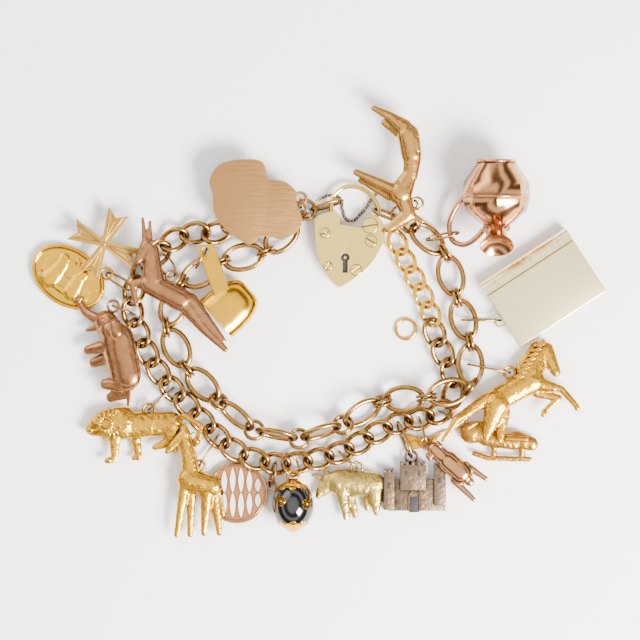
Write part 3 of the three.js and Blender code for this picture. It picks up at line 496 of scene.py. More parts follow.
def walk(rows, pitch, count, fine=8000):
    """Stops a fixed chord apart along a route: (place, roll)."""
    points = [Vector(row[:3]) for row in rows]
    spans = len(rows) - 1

    def roll(t):
        k = min(int(t * spans), spans - 1)
        return rows[k][3] + (rows[k + 1][3] - rows[k][3]) * (t * spans - k)

    stops = [(points[0], roll(0))]
    for i in range(1, fine + 1):
        if len(stops) == count:
            break
        here = route_point(points, i / fine)
        if (here - stops[-1][0]).length >= pitch:
            stops.append((here, roll(i / fine)))
    return stops


def frame_between(start, end, roll, at=None):
    """X along the strand and Z up, then rolled about X."""
    x = (end - start).normalized()
    y = Vector((0, 0, 1)).cross(x).normalized()
    z = x.cross(y)
    turn = Matrix((x, y, z)).transposed().to_4x4()
    place = at if at is not None else (start + end) / 2
    return Matrix.Translation(place) @ turn @ Matrix.Rotation(math.radians(roll), 4, "X")


def link_frames(stops):
    last = len(stops) - 1
    return [
        frame_between(stops[max(i - 1, 0)][0], stops[min(i + 1, last)][0], roll, at)
        for i, (at, roll) in enumerate(stops)
    ]


def curb_points(size, count=36):
    a, b, c = size["half_length"], size["half_width"], size["twist"]
    return [(a * math.cos(t), b * math.sin(t), c * math.sin(2 * t)) for t in around(count)]


curb_frames = link_frames(walk(CURB_ROUTE, CURB["pitch"], CURB_LINKS))
oval_stops = walk(OVAL_ROUTE, 2 * (OVAL["half_length"] + TWIN["reach"]), OVALS + 1)
oval_frames = [
    frame_between(a, b, (roll_a + roll_b) / 2) for (a, roll_a), (b, roll_b) in zip(oval_stops,
        oval_stops[1:])
]


def twin_frame(i):
    at, roll = oval_stops[i]
    before = oval_stops[i - 1][0] if i else GATHERING_AT
    after = oval_stops[i + 1][0] if i < OVALS else BOW_HOLD
    return frame_between(before, after, roll, at)


def curb_strand(name, first, last):
    form = bmesh.new()
    for matrix in curb_frames[first:last + 1]:
        wire(form, curb_points(CURB), CURB["wire"], closed=True, matrix=matrix)
    piece(name + "_links", form, [name], "antique_gold", ANTIQUE)


def oval_strand(name, first, last):
    form = bmesh.new()
    upright = Matrix.Rotation(math.pi / 2, 4, "X")
    for i in range(first, last + 1):
        wire(form, ellipse(OVAL["half_length"], OVAL["half_width"], 48), OVAL["wire"], closed=True,
             matrix=oval_frames[i], sides=4)
    for i in range(first if first == 0 else first + 1, last + 2):
        for side in (-1, 1):
            matrix = twin_frame(i) @ Matrix.Translation((0, side * TWIN["apart"], 0)) @ upright
            wire(form, ellipse(TWIN["radius"], TWIN["radius"], 32), TWIN["wire"], closed=True, matrix=matrix)
    piece(name + "_links", form, [name], "antique_gold", ANTIQUE)


def flat_curb():
    """Curb links filed flat on both faces."""
    form = bmesh.new()
    for matrix in link_frames(walk(FLAT_CURB_ROUTE, FLAT_CURB["pitch"], FLAT_LINKS)):
        part = bmesh.new()
        wire(part, curb_points(FLAT_CURB), FLAT_CURB["wire"], closed=True, sides=4)
        for vert in part.verts:
            vert.co.z = max(-FILED_FACE, min(FILED_FACE, vert.co.z))
        absorb(form, part, matrix)
    piece("flat_curb_links", form, ["flat_curb"], "bright_gold", BRIGHT, crease=30)


for index, (first, last) in enumerate(CURB_SEGMENTS):
    curb_strand(f"curb_chain_{index + 1}", first, last)
for index, (first, last) in enumerate(OVAL_SEGMENTS):
    oval_strand(f"oval_chain_{index + 1}", first, last)
flat_curb()


# ---- rings ---------------------------------------------------------------------------------------------

def principal_frame(node):
    """The middle of a ring's CAD node, its two axes in its plane, and how far it reaches along them."""
    points = [PLAN.inverted() @ v.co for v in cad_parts[node].data.vertices]
    distinct = list({tuple(round(c, 3) for c in p): p for p in points}.values())
    middle = (Vector([min(p[k] for p in distinct) for k in range(3)])
              + Vector([max(p[k] for p in distinct) for k in range(3)])) / 2
    long_axis = max((p - middle for p in distinct), key=lambda v: v.length).normalized()
    rest = [(p - middle) - long_axis * (p - middle).dot(long_axis) for p in distinct]
    side_axis = max(rest, key=lambda v: v.length).normalized()
    reach = [max(abs((p - middle).dot(axis)) for p in distinct) for axis in (long_axis, side_axis)]
    return middle, long_axis, side_axis, reach


def ring(node, thick, material=ANTIQUE, slot="antique_gold", name=None):
    """A round-wire ring or long link in the place of its CAD node."""
    middle, long_axis, side_axis, (a, b) = principal_frame(node)
    turn = Matrix((long_axis, side_axis, long_axis.cross(side_axis))).transposed().to_4x4()
    form = bmesh.new()
    if b > 0.86 * a:
        b = a
    wire(form, ellipse(a - thick, b - thick, 40), thick, closed=True,
        matrix=Matrix.Translation(middle) @ turn)
    return piece(name or node + "_wire", form, [node], slot, material)


JUMP_RING_WIRE = 0.3
CHARM_RINGS = [
    "lion", "giraffe", "bull", "horse", "elephant", "antelope", "hound", "horned_hand", "sleigh", "jug",
        "book",
    "medal", "maltese_cross", "plaque", "cowbell", "egg_cap_top", "enamel_disc", "castle",
]
for charm in CHARM_RINGS:
    ring(charm + "_ring", JUMP_RING_WIRE)
ring("gathering_ring", 0.5)
ring("curb_end_ring", 0.36)
ring("clasp_link", 0.4)
ring("end_link", 0.44)
ring("loose_ring", 0.42, BRIGHT, "bright_gold")


# ---- clasp ---------------------------------------------------------------------------------------------

LOCK = {"low": 0.05, "high": 4.25, "cheek": 1.05}
HEART = [
    (-0.9, 25.6), (-1.3, 22.4), (-0.7, 16.7), (1.4, 12.1), (3.6, 8.9), (5.1, 8.2), (8.6, 10.4), (12.6, 13.8),
    (15.2, 18.1), (16.3, 21.3), (15.9, 24), (14.4, 25.6), (11.7, 25.7), (10.6, 22.9), (4.9, 23.9), (5.1,
    25.6),
    (4.2, 26.9), (2.6, 27.1),
]
HEART_CORNERS = (5, 13, 14)
CORE = [
    (-0.7, 24.6), (-1.0, 22.4), (-0.4, 16.8), (1.6, 12.3), (3.7, 9.2), (5.1, 8.5), (8.5, 10.7), (12.3, 14),
    (14.9, 18.2), (15.6, 20.8), (10.3, 20.9), (10.3, 22.6), (4.7, 23.6), (4.7, 24.6),
]
KEYHOLE = {"at": (6.3, 15.6), "radius": 1.1, "half": 0.65, "end": 11.8}
PIVOT = (12.5, 23.6)
BOW_Z = 2.1
BOW_WIRE = 0.6
BOW = [
    (13.4, 24.6), (14.6, 26.8), (14.4, 28.6), (12.6, 31.4), (9.8, 33.1), (6.9, 33.4), (4.2, 32), (2.8, 29.6),
    (2.75, 27.6), (2.75, 25.5),
]
RIVETS = [(1.25, 21.75, 1.25, 20), (2.0, 13.5, 1.05, 60), (12.75, 19.75, 1.45, -30), (9.0, 12.5, 1.4, 35)]


def keyhole_outline():
    (x, y), r = KEYHOLE["at"], KEYHOLE["radius"]
    half, end = KEYHOLE["half"], KEYHOLE["end"]
    open_angle = math.asin(half / r)
    arc = [(-math.pi / 2 + open_angle) + (2 * math.pi - 2 * open_angle) * i / 16 for i in range(17)]
    return [(x + half, end)] + [(x + r * math.cos(a), y + r * math.sin(a)) for a in arc] + [(x - half, end)]


def slotted_rivet(form, x, y, base, radius, turn, material=0):
    """A flush rivet head in two halves either side of its screwdriver slot."""
    slot_half = 0.13
    # A disc of darker gold just under the head: painted shade seen in the screwdriver slot and round the
    # head.
    slot_shade_disc = bmesh.new()
    bmesh.ops.create_circle(slot_shade_disc, cap_ends=True, segments=28, radius=radius + 0.12)
    absorb(form, slot_shade_disc, Matrix.Translation((x, y, base + 0.14)), 2)
    for side in (-1, 1):
        part = bmesh.new()
        bmesh.ops.create_circle(part, cap_ends=True, segments=28, radius=radius)
        bmesh.ops.bisect_plane(part, geom=part.verts[:] + part.edges[:] + part.faces[:],
                               plane_co=(0, side * slot_half, 0), plane_no=(0, -side, 0), clear_outer=True)
        raised = bmesh.ops.extrude_face_region(part, geom=part.faces[:])
        top = [v for v in raised["geom"] if isinstance(v, bmesh.types.BMVert)]
        bmesh.ops.translate(part, verts=top, vec=(0, 0, 0.22))
        bmesh.ops.recalc_face_normals(part, faces=part.faces)
        rims = [e for e in part.edges if min(v.co.z for v in e.verts) > 0.2]
        bmesh.ops.bevel(part, geom=rims, offset=0.1, offset_type="OFFSET", segments=2, profile=0.5,
                        affect="EDGES", material=-1)
        absorb(form, part, Matrix.Translation((x, y, base)) @ Matrix.Rotation(math.radians(turn), 4, "Z"),
            material)


def padlock_body():
    form = bmesh.new()
    outline = smooth_outline(HEART, 6, HEART_CORNERS)
    low, high, cheek = LOCK["low"], LOCK["high"], LOCK["cheek"]
    absorb(form, plate(outline, low, low + cheek, 0.2))
    absorb(form, plate(outline, high - cheek, high, 0.22, holes=[keyhole_outline()], segments=3))
    milled = smooth_outline(CORE, 10)
    middle = Vector((7, 17))
    ridge = 0.14
    milled = [(Vector(p) + (Vector(p) - middle).normalized() * (ridge * (i % 2))).to_tuple()
              for i, p in enumerate(milled)]
    absorb(form, plate(milled, low + cheek, high - cheek, 0))
    for x, y, radius, turn in RIVETS:
        slotted_rivet(form, x, y, high - 0.12, radius, turn)
    slotted_rivet(form, *PIVOT, high - 0.12, 1.95, 10)
    post = bmesh.new()
    bmesh.ops.create_cone(post, cap_ends=True, segments=20, radius1=0.6, radius2=0.6, depth=high - low - 0.6,
                          matrix=Matrix.Translation((*PIVOT, (low + high) / 2)))
    absorb(form, post)
    pin = bmesh.new()
    bmesh.ops.create_cone(pin, cap_ends=True, segments=20, radius1=0.42, radius2=0.36, depth=1.1,
                          matrix=Matrix.Translation((*KEYHOLE["at"], high - 0.7)))
    absorb(form, pin)
    x, y = KEYHOLE["at"]
    # A near-black sheet under the keyhole opening: painted shade for the inside of the lock.
    bevelled_box(form, (x - 1.3, KEYHOLE["end"] - 0.2, 3.1), (x + 1.3, y + 1.3, 3.24), 0, Matrix(),
        material=1)
    piece("heart_padlock", form, ["padlock_body"], "pale_gold", PALE, OPENING_SHADE, DARK_GOLD_AND_SHADE, crease=32)


def padlock_bow():
    form = bmesh.new()
    points = [Vector((x, y, BOW_Z)) for x, y in BOW]
    steps = 60
    path = [route_point(points, i / steps) for i in range(steps + 1)]
    wire(form, path, BOW_WIRE, sides=4)
    eye = turned([(1.02, -0.6), (1.75, -0.6), (1.75, 0.6), (1.02, 0.6), (1.02, -0.6)], 32)
    absorb(form, eye, Matrix.Translation((*PIVOT, BOW_Z)) @ Matrix.Rotation(math.pi / 2, 4, "X"))
    piece("padlock_bow", form, ["padlock_shackle"], "pale_gold", PALE, body="shackle")


SAFETY_ROUTE = [
    (-0.3, 30.1, 1), (2.4, 31.2, 0.6), (5.2, 30.3, 0.6), (5.6, 28, 0.6), (6.6, 25.2, 0.7), (8.4, 24.9, 0.7),
    (9.9, 26.3, 0.7), (11.8, 28.4, 0.7), (12.8, 30.2, 0.7), (15.2, 32.4, 0.8),
]


def safety_chain():
    """A fine cable chain whose links turn a quarter each."""
    form = bmesh.new()
    stops = walk([(*row, 0) for row in SAFETY_ROUTE], 0.82, 60)
    for i, matrix in enumerate(link_frames(stops)):
        turn = Matrix.Rotation(math.radians(45 + 90 * (i % 2)), 4, "X")
        wire(form, ellipse(0.62, 0.4, 14), 0.12, closed=True, matrix=matrix @ turn, sides=1)
    piece("fine_safety_chain", form, ["safety_chain"], "antique_gold", DARK_GOLD_AND_SHADE)


padlock_body()
padlock_bow()
safety_chain()


# ---- cast creatures ------------------------------------------------------------------------------------

LOOP = {"radius": 1.45, "wire": 0.34}


def hanging_loop(form, x, y, matrix, material=0):
    path = [(x + px, y + py, 0) for px, py, _ in ellipse(LOOP["radius"], LOOP["radius"], 28)]
    wire(form, path, LOOP["wire"], closed=True, matrix=matrix, material=material)


def creature(name, rows, details, place, loop_at, slot, skin, rise=(0, 0), work=(0.9, 0.06), extras=None,
             flat=CREATURE_FLAT):
    """A small cast figure: its limbs melted together, its surface worked, and its soldered loop."""
    cast = bmesh.new()
    for row in rows:
        limb(cast, row, flat)
    cast = melt(cast, 0.2, 5)
    chase(cast, *work)
    form = bmesh.new()
    matrix = lean(place, rise)
    absorb(form, cast, matrix)
    chased = bmesh.new()
    for row in details:
        limb(chased, row, flat=0.8)
    absorb(form, melt(chased, 0.15, 1), matrix)
    hanging_loop(form, *loop_at, matrix)
    materials = [skin]
    if extras:
        materials += extras(form, matrix)
    piece(name + "_cast", form, [name], slot, *materials, crease=60)


def ruby_eye(form, matrix):
    ball(form, matrix @ Vector((-1.9, 7.6, 1.75)), 0.55, material=1)
    return [RUBY]


LION = [
    (-12.2, 0.2, 2.5, -13.8, -0.5, 1.5), (-10.8, 0.8, 3.4, -6.2, 1.2, 4.3), (-5, 0.5, 3.4, 6.2, 1, 3),
    (-7.8, -1.8, 1.7, -8, -7.5, 0.9, 0.5), (-8, -7.9, 0.9, -9.2, -8.2, 0.8, 0.5),
    (-2.8, -1.8, 1.5, -2, -7, 0.9, -0.5), (-2, -7.4, 0.9, -3.2, -7.6, 0.7, -0.5),
    (6.4, 0.2, 2.5, 6.2, -3.2, 1.6, 0.4), (6.2, -3.4, 1.4, 2.2, -4.9, 0.9, 0.4),
    (7.2, -1.2, 1.7, 7, -5.6, 0.9, -0.5), (7.4, 1.8, 1, 9.6, 3, 0.8, 0.4, 2.9),
    (9.6, 3, 0.8, 13.8, 0.5, 0.7, 2.9), (13.8, 0.5, 0.7, 12.8, -3.4, 0.9, 2.9),
]
GIRAFFE = [
    (-2.8, 14, 1.5, -6.8, 10.2, 0.9), (-2.2, 14.5, 0.8, -2.8, 16.4, 0.6), (-2.8, 13, 1.5, -1.2, 4, 2.2),
    (-1.8, 2.5, 3, 3.8, 1, 2.7), (-3, 0, 1.3, -4.8, -11.2, 0.8, 0.4), (-1.2, -0.5, 1.3, -1.5, -11.2, 0.8,
    -0.4),
    (2.8, -0.5, 1.6, 2, -10.8, 0.8, 0.4), (4.5, -0.5, 1.6, 5.8, -10.8, 0.8, -0.4), (5.4, 1.4, 0.7, 6.8,
    -6.2, 0.6),
]
BULL = [
    (-6, 1.2, 2.4, -8.2, -1.2, 1.5), (-7.2, 1.8, 0.8, -10.5, 2.8, 0.45), (-6, 2.4, 0.8, -7.5, 4.2, 0.45),
    (-3.8, 1, 3.3, 4.5, 0.5, 3.2), (-3, -1.8, 1.6, -2, -7.8, 0.9, 0.5), (-1.2, -1.8, 1.4, 0.2, -7.2, 0.9,
    -0.5),
    (5, -1.2, 2, 5.5, -6.5, 0.9, 0.5), (3.2, -1.2, 1.8, 3.2, -5.4, 0.9, -0.5), (6.4, 1.2, 0.7, 7.4, -3.8,
    0.6),
]
HORSE = [
    (5.2, 10, 2.2, 7.8, 4.5, 1.3), (4, 9.5, 2.2, 1.2, 3.5, 3.2), (2.8, 11, 1.2, -0.8, 5.5, 1.6),
    (1.8, 2.5, 3.3, -6.2, -2, 3.1), (-7, -3.2, 3.3, -9.8, -12, 0.9, 0.5), (-5.5, -5.5, 2, -6.2, -12.5, 0.9,
    -0.5),
    (3.8, 1.5, 1.6, 9.2, 0.2, 0.9, 0.5), (9.2, 0.2, 0.9, 12.8, -4, 0.8, 0.5), (3.2, -0.5, 1.5, 8.5, -2,
    0.9, -0.5),
    (8.5, -2, 0.9, 4.8, -5.5, 0.8, -0.5), (-8.4, -1.5, 1.6, -17, -7.5, 1.1, 0, 2.2),
    (-17, -7.5, 1.1, -20.5, -12.8, 0.6, 2.2),
]
ELEPHANT = [
    (-1.5, 7, 3, 0, 4.5, 3.4), (-3.5, 7.5, 1.6, -7, 9.5, 1.1), (-7, 9.5, 1.1, -8.8, 12.2, 0.8),
    (-4, 5.5, 0.8, -6.5, 5, 0.5), (1.5, 2.5, 4.4, 3.5, -6.2, 4.2), (-0.2, 5, 2.6, 0.6, 3.6, 2.4, 1),
    (-1.5, 1, 1.8, -6, 0, 1.3, 0.7), (-0.5, -1.5, 1.8, -5, -3.2, 1.3, -0.7), (2, -8.5, 2.2, -1.5, -8.5,
    1.4, 0.7),
    (2.8, -10.4, 2, -0.5, -11.8, 1.3, -0.7), (4.8, -9.5, 0.9, 4.4, -13.5, 0.6),
]
ANTELOPE = [
    (-4.2, 11, 1.9, -6.2, 7.8, 1.1), (-3.2, 10, 1.9, -2.8, 2.5, 2.8), (-4.8, 12, 0.8, -5.4, 17.8, 0.45),
    (-3.6, 12, 0.8, -3.6, 17, 0.45), (-3.8, 1.5, 2.6, 4.2, -2.5, 2.9), (-5.2, 1.8, 1.5, -8, 1.5, 1),
    (-8, 1.5, 1, -7, -3.5, 0.7), (5.2, -3.5, 2.3, 10.2, -10, 1.3), (10.2, -10, 1.3, 15.2, -14.8, 0.8),
    (6.6, -2.5, 1.8, 11.4, -8.4, 1.1), (11.4, -8.4, 1.1, 14.8, -12.6, 0.7),
]
HOUND = [
    (2, 12.5, 2.8, 2.8, 7.5, 2.6), (1, 14.2, 2.2, -3, 17.2, 1.2), (-3, 17.2, 1.2, -6.6, 19, 0.8),
    (0.8, 12.6, 1.8, -4, 15.4, 0.9, -0.5), (3, 6.8, 2.3, 2.5, 2.2, 1.9), (2, 1.8, 2, 0, -2.2, 3),
    (-2, -1.2, 1.5, -11, 3, 0.9, 0.4), (-2.6, -3, 1.2, -10, 1, 0.7, -0.4), (0.5, -3.2, 2.3, 2, -7.2, 1.8),
    (1.5, -7.8, 1.9, -3, -11.2, 1), (3, -7.8, 1, 5.5, -9.2, 0.6),
]
HAND = [
    (-4.4, 4.7, 1.9, -2.4, 2.8, 2.1), (-1.2, 1.8, 2.6, 2.2, -1.2, 2.7), (3.4, 0.8, 1, 8.4, -2.6, 0.7),
    (0.4, -3, 1, 5.4, -7.8, 0.7), (2.8, -1.6, 1.6, 4.4, -3.4, 1.2),
]
SLEIGH = [
    (-6.8, 0.8, 2.8, -3, 1.2, 2.6), (-3, -0.4, 2.2, 4, -1.6, 2), (4.4, -0.8, 2.2, 8.4, -2, 1.8),
    (-6, -4.4, 0.7, -2.4, -5.6, 0.7), (-2.4, -5.6, 0.7, 8, -5.8, 0.7), (-1, -1.6, 0.9, -1, -5.6, 0.7),
    (6, -2.4, 0.9, 6, -5.8, 0.7),
]
def locks(x, y, start, end, count, height, thick=0.5, squash=1.0):
    """Locks of a mane, spread round a point from one distance out to another."""
    rows = []
    for a in around(count, 0.2):
        c, s = math.cos(a), math.sin(a) * squash
        rows.append((x + start * c, y + start * s, thick, x + end * c, y + end * s, thick * 0.45, height,
            height - 0.5))
    return rows


LION_DETAILS = [
    *locks(-10.2, 0.9, 1.6, 3.0, 13, 1.75), *locks(-9.0, 0.9, 2.4, 4.1, 17, 1.5), (-12.4, 2.3, 0.5, -12.2,
    2.9, 0.4, 1.2),
    (-13.9, -0.5, 0.9, -14.4, -0.8, 0.7, 0.8), (-9.3, -8.2, 0.9, -9.9, -8.3, 0.7, 0.5),
    (12.6, -3.2, 1.0, 12.4, -4.2, 0.6, 2.9),
]
GIRAFFE_DETAILS = [
    (-1.6, 13.6, 0.5, -0.4, 14.4, 0.3, 0.5), (-1.2, 13, 0.4, 0.6, 5, 0.5, 0.3), (-7, 9.9, 0.7, -7.3, 9.5,
    0.5),
]
BULL_DETAILS = [(-8.6, -1.6, 1, -9, -2.4, 0.8), (-2.6, 3.2, 1.2, 0, 3, 1.1), (-5, 2.8, 0.7, -3.6, 3.4, 0.6)]
HORSE_DETAILS = [
    *[(4.6 - 0.75 * k, 11.4 - 1.15 * k, 0.5, 1.9 - 0.75 * k, 10.9 - 1.3 * k, 0.25, 1.4,
    1.1) for k in range(8)],
    (4.8, 11.6, 0.5, 4.7, 12.6, 0.25, 0.6), (12.8, -4, 0.8, 13, -4.6, 0.75, 0.5), (4.8, -5.5, 0.8, 4.6,
    -6.1, 0.75, -0.4),
    *[(-9 - 0.3 * k, -1.2 - 0.7 * k, 0.5, -18.6 - 0.4 * k, -9 - 1.1 * k, 0.3, 1.2, 2.4) for k in range(3)],
]
ELEPHANT_DETAILS = [(1.4, 6.4, 1.6, 1.8, 4.4, 1.8, 1.6), (-8.8, 12.2, 0.8, -8.2, 13, 0.6)]
ANTELOPE_DETAILS = [(-3, 11.6, 0.7, -1.4, 12.6, 0.35, 0.5), (-6.4, 7.4, 0.8, -6.8, 6.8, 0.6)]
HOUND_DETAILS = [(0.4, -1.4, 0.8, -0.6, 0.4, 0.5, 1), (3.8, 11, 1.2, 4.2, 8.6, 1, 0.6)]
HAND_DETAILS = [
    *[(-5.6 + 0.62 * k, 2.6 + 0.75 * k, 0.75, -6.2 + 0.62 * k, 3.3 + 0.75 * k, 0.6, 0.3) for k in range(5)],
    (1.6, 1.2, 0.9, 3.4, -0.6, 0.8, 0.7), (0.2, -0.4, 0.9, 1.8, -2.4, 0.8, 0.7), (3.2, -0.4, 0.7, 4.6, -2,
    0.6, 0.5),
]
SLEIGH_DETAILS = [(-7.6, 2, 0.8, -5.4, 3.2, 0.6, 0.8), (2, -0.6, 0.8, 7, -0.8, 0.8, 1)]

creature("lion", LION, LION_DETAILS, (-43.4, -26.9, 2.3), (0.6, 4.5), "bright_gold", CHASED, work=(1.1,
    0.09),
         flat=0.5)
creature("giraffe", GIRAFFE, GIRAFFE_DETAILS, (-31, -42.5, 3.7), (0.8, 6), "bright_gold", CHASED, rise=(0,
    0.06),
         work=(1.2, 0.06))
creature("bull", BULL, BULL_DETAILS, (8.6, -41.6, 2.1), (0.6, 4.6), "green_gold", GREEN, work=(1.0, 0.06),
         flat=0.53)
creature("horse", HORSE, HORSE_DETAILS, (51.2, -17.5, 3.6), (-3.8, 4.4), "bright_gold", CHASED, rise=(0,
    -0.12),
         work=(1.3, 0.05))
creature("elephant", ELEPHANT, ELEPHANT_DETAILS, (-52, -7.5, 4.9), (0.4, 11), "rose_gold", ROSE_CHASED,
         rise=(0.3, 0), work=(1.8, 0.05), extras=ruby_eye)
creature("antelope", ANTELOPE, ANTELOPE_DETAILS, (-38.8, 7.5, 7.4), (1.9, 3.25), "rose_gold", ROSE_CHASED,
         work=(1.6, 0.03))
creature("hound", HOUND, HOUND_DETAILS, (20, 33.8, 7.2), (4.2, -4.7), "warm_gold", WARM, work=(1.6, 0.03))
creature("horned_hand", HAND, HAND_DETAILS, (33, -37, 5.3), (-6.3, 6.3), "rose_gold", ROSE, work=(1.6,
    0.015))
creature("sleigh", SLEIGH, SLEIGH_DETAILS, (44.5, -29, 2), (-9.4, 3.4), "old_gold", OLD, work=(1.0, 0.08),
    flat=0.53)


# ---- jug, book and bell --------------------------------------------------------------------------------

JUG = {
    "at": (43.9, 31.8, 8.6),
    "body": [(0, -9.8), (3.2, -9.8), (3.4, -8.2), (7.6, -4.6), (8.5, -1.1), (8.1, 2.6), (4.8, 7.4), (4.6,
        8.2), (0, 8.2)],
    "trumpet": [(0, 0), (3, 0), (2.5, 2.6), (3, 4.6), (4.3, 6), (4.05, 6.05), (2.6, 4.9), (0, 4.2)],
    "sides": 8,
    "tilt": 38,
    "handle": [(7.6, -0.5), (10.4, -3.4), (12.3, -8), (11.4, -12), (8.4, -13), (5.6, -11.6), (3, -9)],
    "handle_roll": 20,
}


def jug():
    form = bmesh.new()
    at = Matrix.Translation(JUG["at"])
    absorb(form, turned(JUG["body"], JUG["sides"]), at)
    flare = Matrix.Translation((0, -8.6, 0.4)) @ Matrix.Rotation(math.radians(180 - JUG["tilt"]), 4, "X")
    absorb(form, turned(JUG["trumpet"], 40), at @ flare)
    for radius, y, thick in ((8.25, -1.1, 0.32), (4.75, 7.7, 0.3), (3.2, -8.9, 0.4)):
        path = [(radius * math.cos(a), y, radius * math.sin(a)) for a in around(48)]
        wire(form, path, thick, closed=True, matrix=at)
    roll = math.radians(JUG["handle_roll"])
    points = [Vector((-a * math.cos(roll), y, -a * math.sin(roll))) for a, y in JUG["handle"]]
    path = [route_point(points, i / 40) for i in range(41)]
    wire(form, path, 0.7, matrix=at, sides=4)
    piece("faceted_jug", form, ["jug"], "rose_gold", ROSE, crease=38)


BOOK = {"length": 25.6, "depth": 16.6, "thick": 4.6, "cover": 0.7, "inset": 0.8, "turn": 33, "at": (56.3,
    7.2, 2.4)}


def book():
    """A shut book: two covers, a round spine with its bands, and the leaves."""
    form = bmesh.new()
    matrix = Matrix.Translation(BOOK["at"]) @ Matrix.Rotation(math.radians(BOOK["turn"]), 4, "Z")
    half_l, half_d, half_t = BOOK["length"] / 2, BOOK["depth"] / 2, BOOK["thick"] / 2
    cover, inset = BOOK["cover"], BOOK["inset"]
    for side in (-1, 1):
        low, high = sorted((side * half_t, side * (half_t - cover)))
        bevelled_box(form, (-half_l, -half_d, low), (half_l, half_d, high), 0.22, matrix)
    spine = bmesh.new()
    bmesh.ops.create_cone(spine, cap_ends=True, segments=48, radius1=half_t, radius2=half_t,
        depth=BOOK["length"],
                          matrix=Matrix.Translation((0, half_d, 0)) @ Matrix.Rotation(math.pi / 2, 4, "Y"))
    absorb(form, spine, matrix)
    bevelled_box(form, (-half_l + inset, -half_d + inset, -half_t + cover), (half_l - inset, half_d,
        half_t - cover),
                 0, matrix, material=1)
    for x, thick, material in ((-half_l + 3.4, 0.36, 0), (half_l - 3.4, 0.36, 0), (-1.2, 0.3, 0), (1.2,
        0.3, 0)):
        path = [(x, half_d + (half_t - thick + 0.1) * math.sin(a),
                 (half_t - thick + 0.1) * math.cos(a)) for a in
                [math.pi * i / 16 for i in range(17)]]
        wire(form, path, thick, matrix=matrix, material=material)
    path = [(x, half_d - 1.4, half_t - 0.1) for x in (-half_l + 0.3, half_l - 0.3)]
    wire(form, path, 0.2, matrix=matrix, material=2)
    hanging_loop(form, -11.25, -7.3, Matrix.Translation(BOOK["at"]))
    piece("shut_book", form, ["book"], "pale_gold", CREAM, LEAVES, DARK_GOLD_AND_SHADE, crease=35)


BELL = {"at": (-26, 0.3, 3.7), "turn": 41, "wall": 0.55}
BELL_SECTIONS = [
    (0, 6.3, 3.5), (0.5, 6.2, 3.4), (3, 6.2, 3.4), (6, 5.9, 3.3), (8.2, 5.3, 2.9), (9.8, 4.5, 2.3), (10.8,
    3.6, 1.6),
    (11.2, 2.6, 0.9),
]
STRAP = [(-30.9, 18.2), (-26.6, 19.2), (-21.8, 5.6), (-25.6, 4.2)]
STRAP_HOLE = (-28.5, 17.3)


def cowbell():
    matrix = Matrix.Translation(BELL["at"]) @ Matrix.Rotation(math.radians(BELL["turn"]), 4, "Z")
    form = bmesh.new()
    skin = bmesh.new()
    loops = []
    power = 2.3
    for x, w, t in BELL_SECTIONS:
        verts = []
        for a in around(48):
            c, s = math.cos(a), math.sin(a)
            verts.append(skin.verts.new((x, w * math.copysign(abs(c) ** (2 / power), c),
                                         t * math.copysign(abs(s) ** (2 / power), s))))
        loops.append([skin.edges.new((a, b)) for a, b in zip(verts, verts[1:] + verts[:1])])
    for one, two in zip(loops, loops[1:]):
        bmesh.ops.bridge_loops(skin, edges=one + two)
    skin.faces.new([e.verts[0] for e in loops[-1]])
    bmesh.ops.recalc_face_normals(skin, faces=skin.faces)
    bmesh.ops.solidify(skin, geom=skin.faces[:], thickness=BELL["wall"])
    bmesh.ops.recalc_face_normals(skin, faces=skin.faces)
    absorb(form, skin, matrix)
    eyelet = [(STRAP_HOLE[0] + 0.8 * math.cos(a), STRAP_HOLE[1] + 0.8 * math.sin(a)) for a in around(20)]
    strap = plate(smooth_outline(STRAP, 5, (0, 1, 2, 3)), 5.65, 6.3, 0.14, holes=[eyelet])
    absorb(form, strap)
    wire(form, [(0.1, 5.2, -1.0), (4, 4.4, -0.6), (8, 3, 0)], 0.3, matrix=matrix)
    ball(form, matrix @ Vector((-0.4, 5.1, -1.0)), 0.95)
    piece("cowbell_and_strap", form, ["cowbell"], "bright_gold", BRIGHT, crease=40)


jug()
book()
cowbell()


# ---- flat charms ---------------------------------------------------------------------------------------

MEDAL = {"at": (-63, 10.8, 1.25), "rise": (0.04, 0), "half_length": 10, "half_width": 7.3, "thick": 1.5,
    "turn": -35}
MEDAL_RELIEF = [
    (-3.4, 3.2, 1.3, -3, 1.6, 1.5), (-3, 0.8, 1.6, -3.6, -3, 2.2), (3, 2.6, 1.1, 2.6, 1.4, 1.2),
    (2.4, 0.6, 1.5, 2.8, -2.8, 1.9), (-1.8, 0.4, 0.6, 1.2, 0.2, 0.5), (-6, -3.6, 0.8, 6, -3.6, 0.8),
    (6, 0.5, 0.6, 6.4, -2.4, 0.9), (-6.6, 1.2, 0.5, -6, -2, 0.7), (0, 4.6, 0.9, 0.4, 3.8, 0.6),
]


def medal():
    """An oval medal with a raised rim and a low relief of two plain standing figures."""
    a, b, half = MEDAL["half_length"], MEDAL["half_width"], MEDAL["thick"] / 2
    cast = bmesh.new()
    absorb(cast, plate([p[:2] for p in ellipse(a, b, 64)], -half, half - 0.3, 0.1))
    wire(cast, ellipse(a - 0.55, b - 0.55, 64, half - 0.35), 0.5, closed=True)
    for row in MEDAL_RELIEF:
        limb(cast, (*row, half - 0.35), flat=0.3)
    cast = melt(cast, 0.16, 1)
    chase(cast, 0.9, 0.04)
    matrix = lean(MEDAL["at"], MEDAL["rise"])
    form = bmesh.new()
    absorb(form, cast, matrix @ Matrix.Rotation(math.radians(MEDAL["turn"]), 4, "Z"))
    hanging_loop(form, 9.6, 0.8, matrix)
    piece("oval_medal", form, ["medal"], "bright_gold", BRIGHT, crease=60)


CROSS = {"at": (-54, 19, 3.95), "turn": 65, "point": 17.5, "reach": 9.4, "notch": 7.2, "waist": 1.3,
    "thick": 1}


def polar(degrees, radius):
    return (radius * math.cos(math.radians(degrees)), radius * math.sin(math.radians(degrees)))


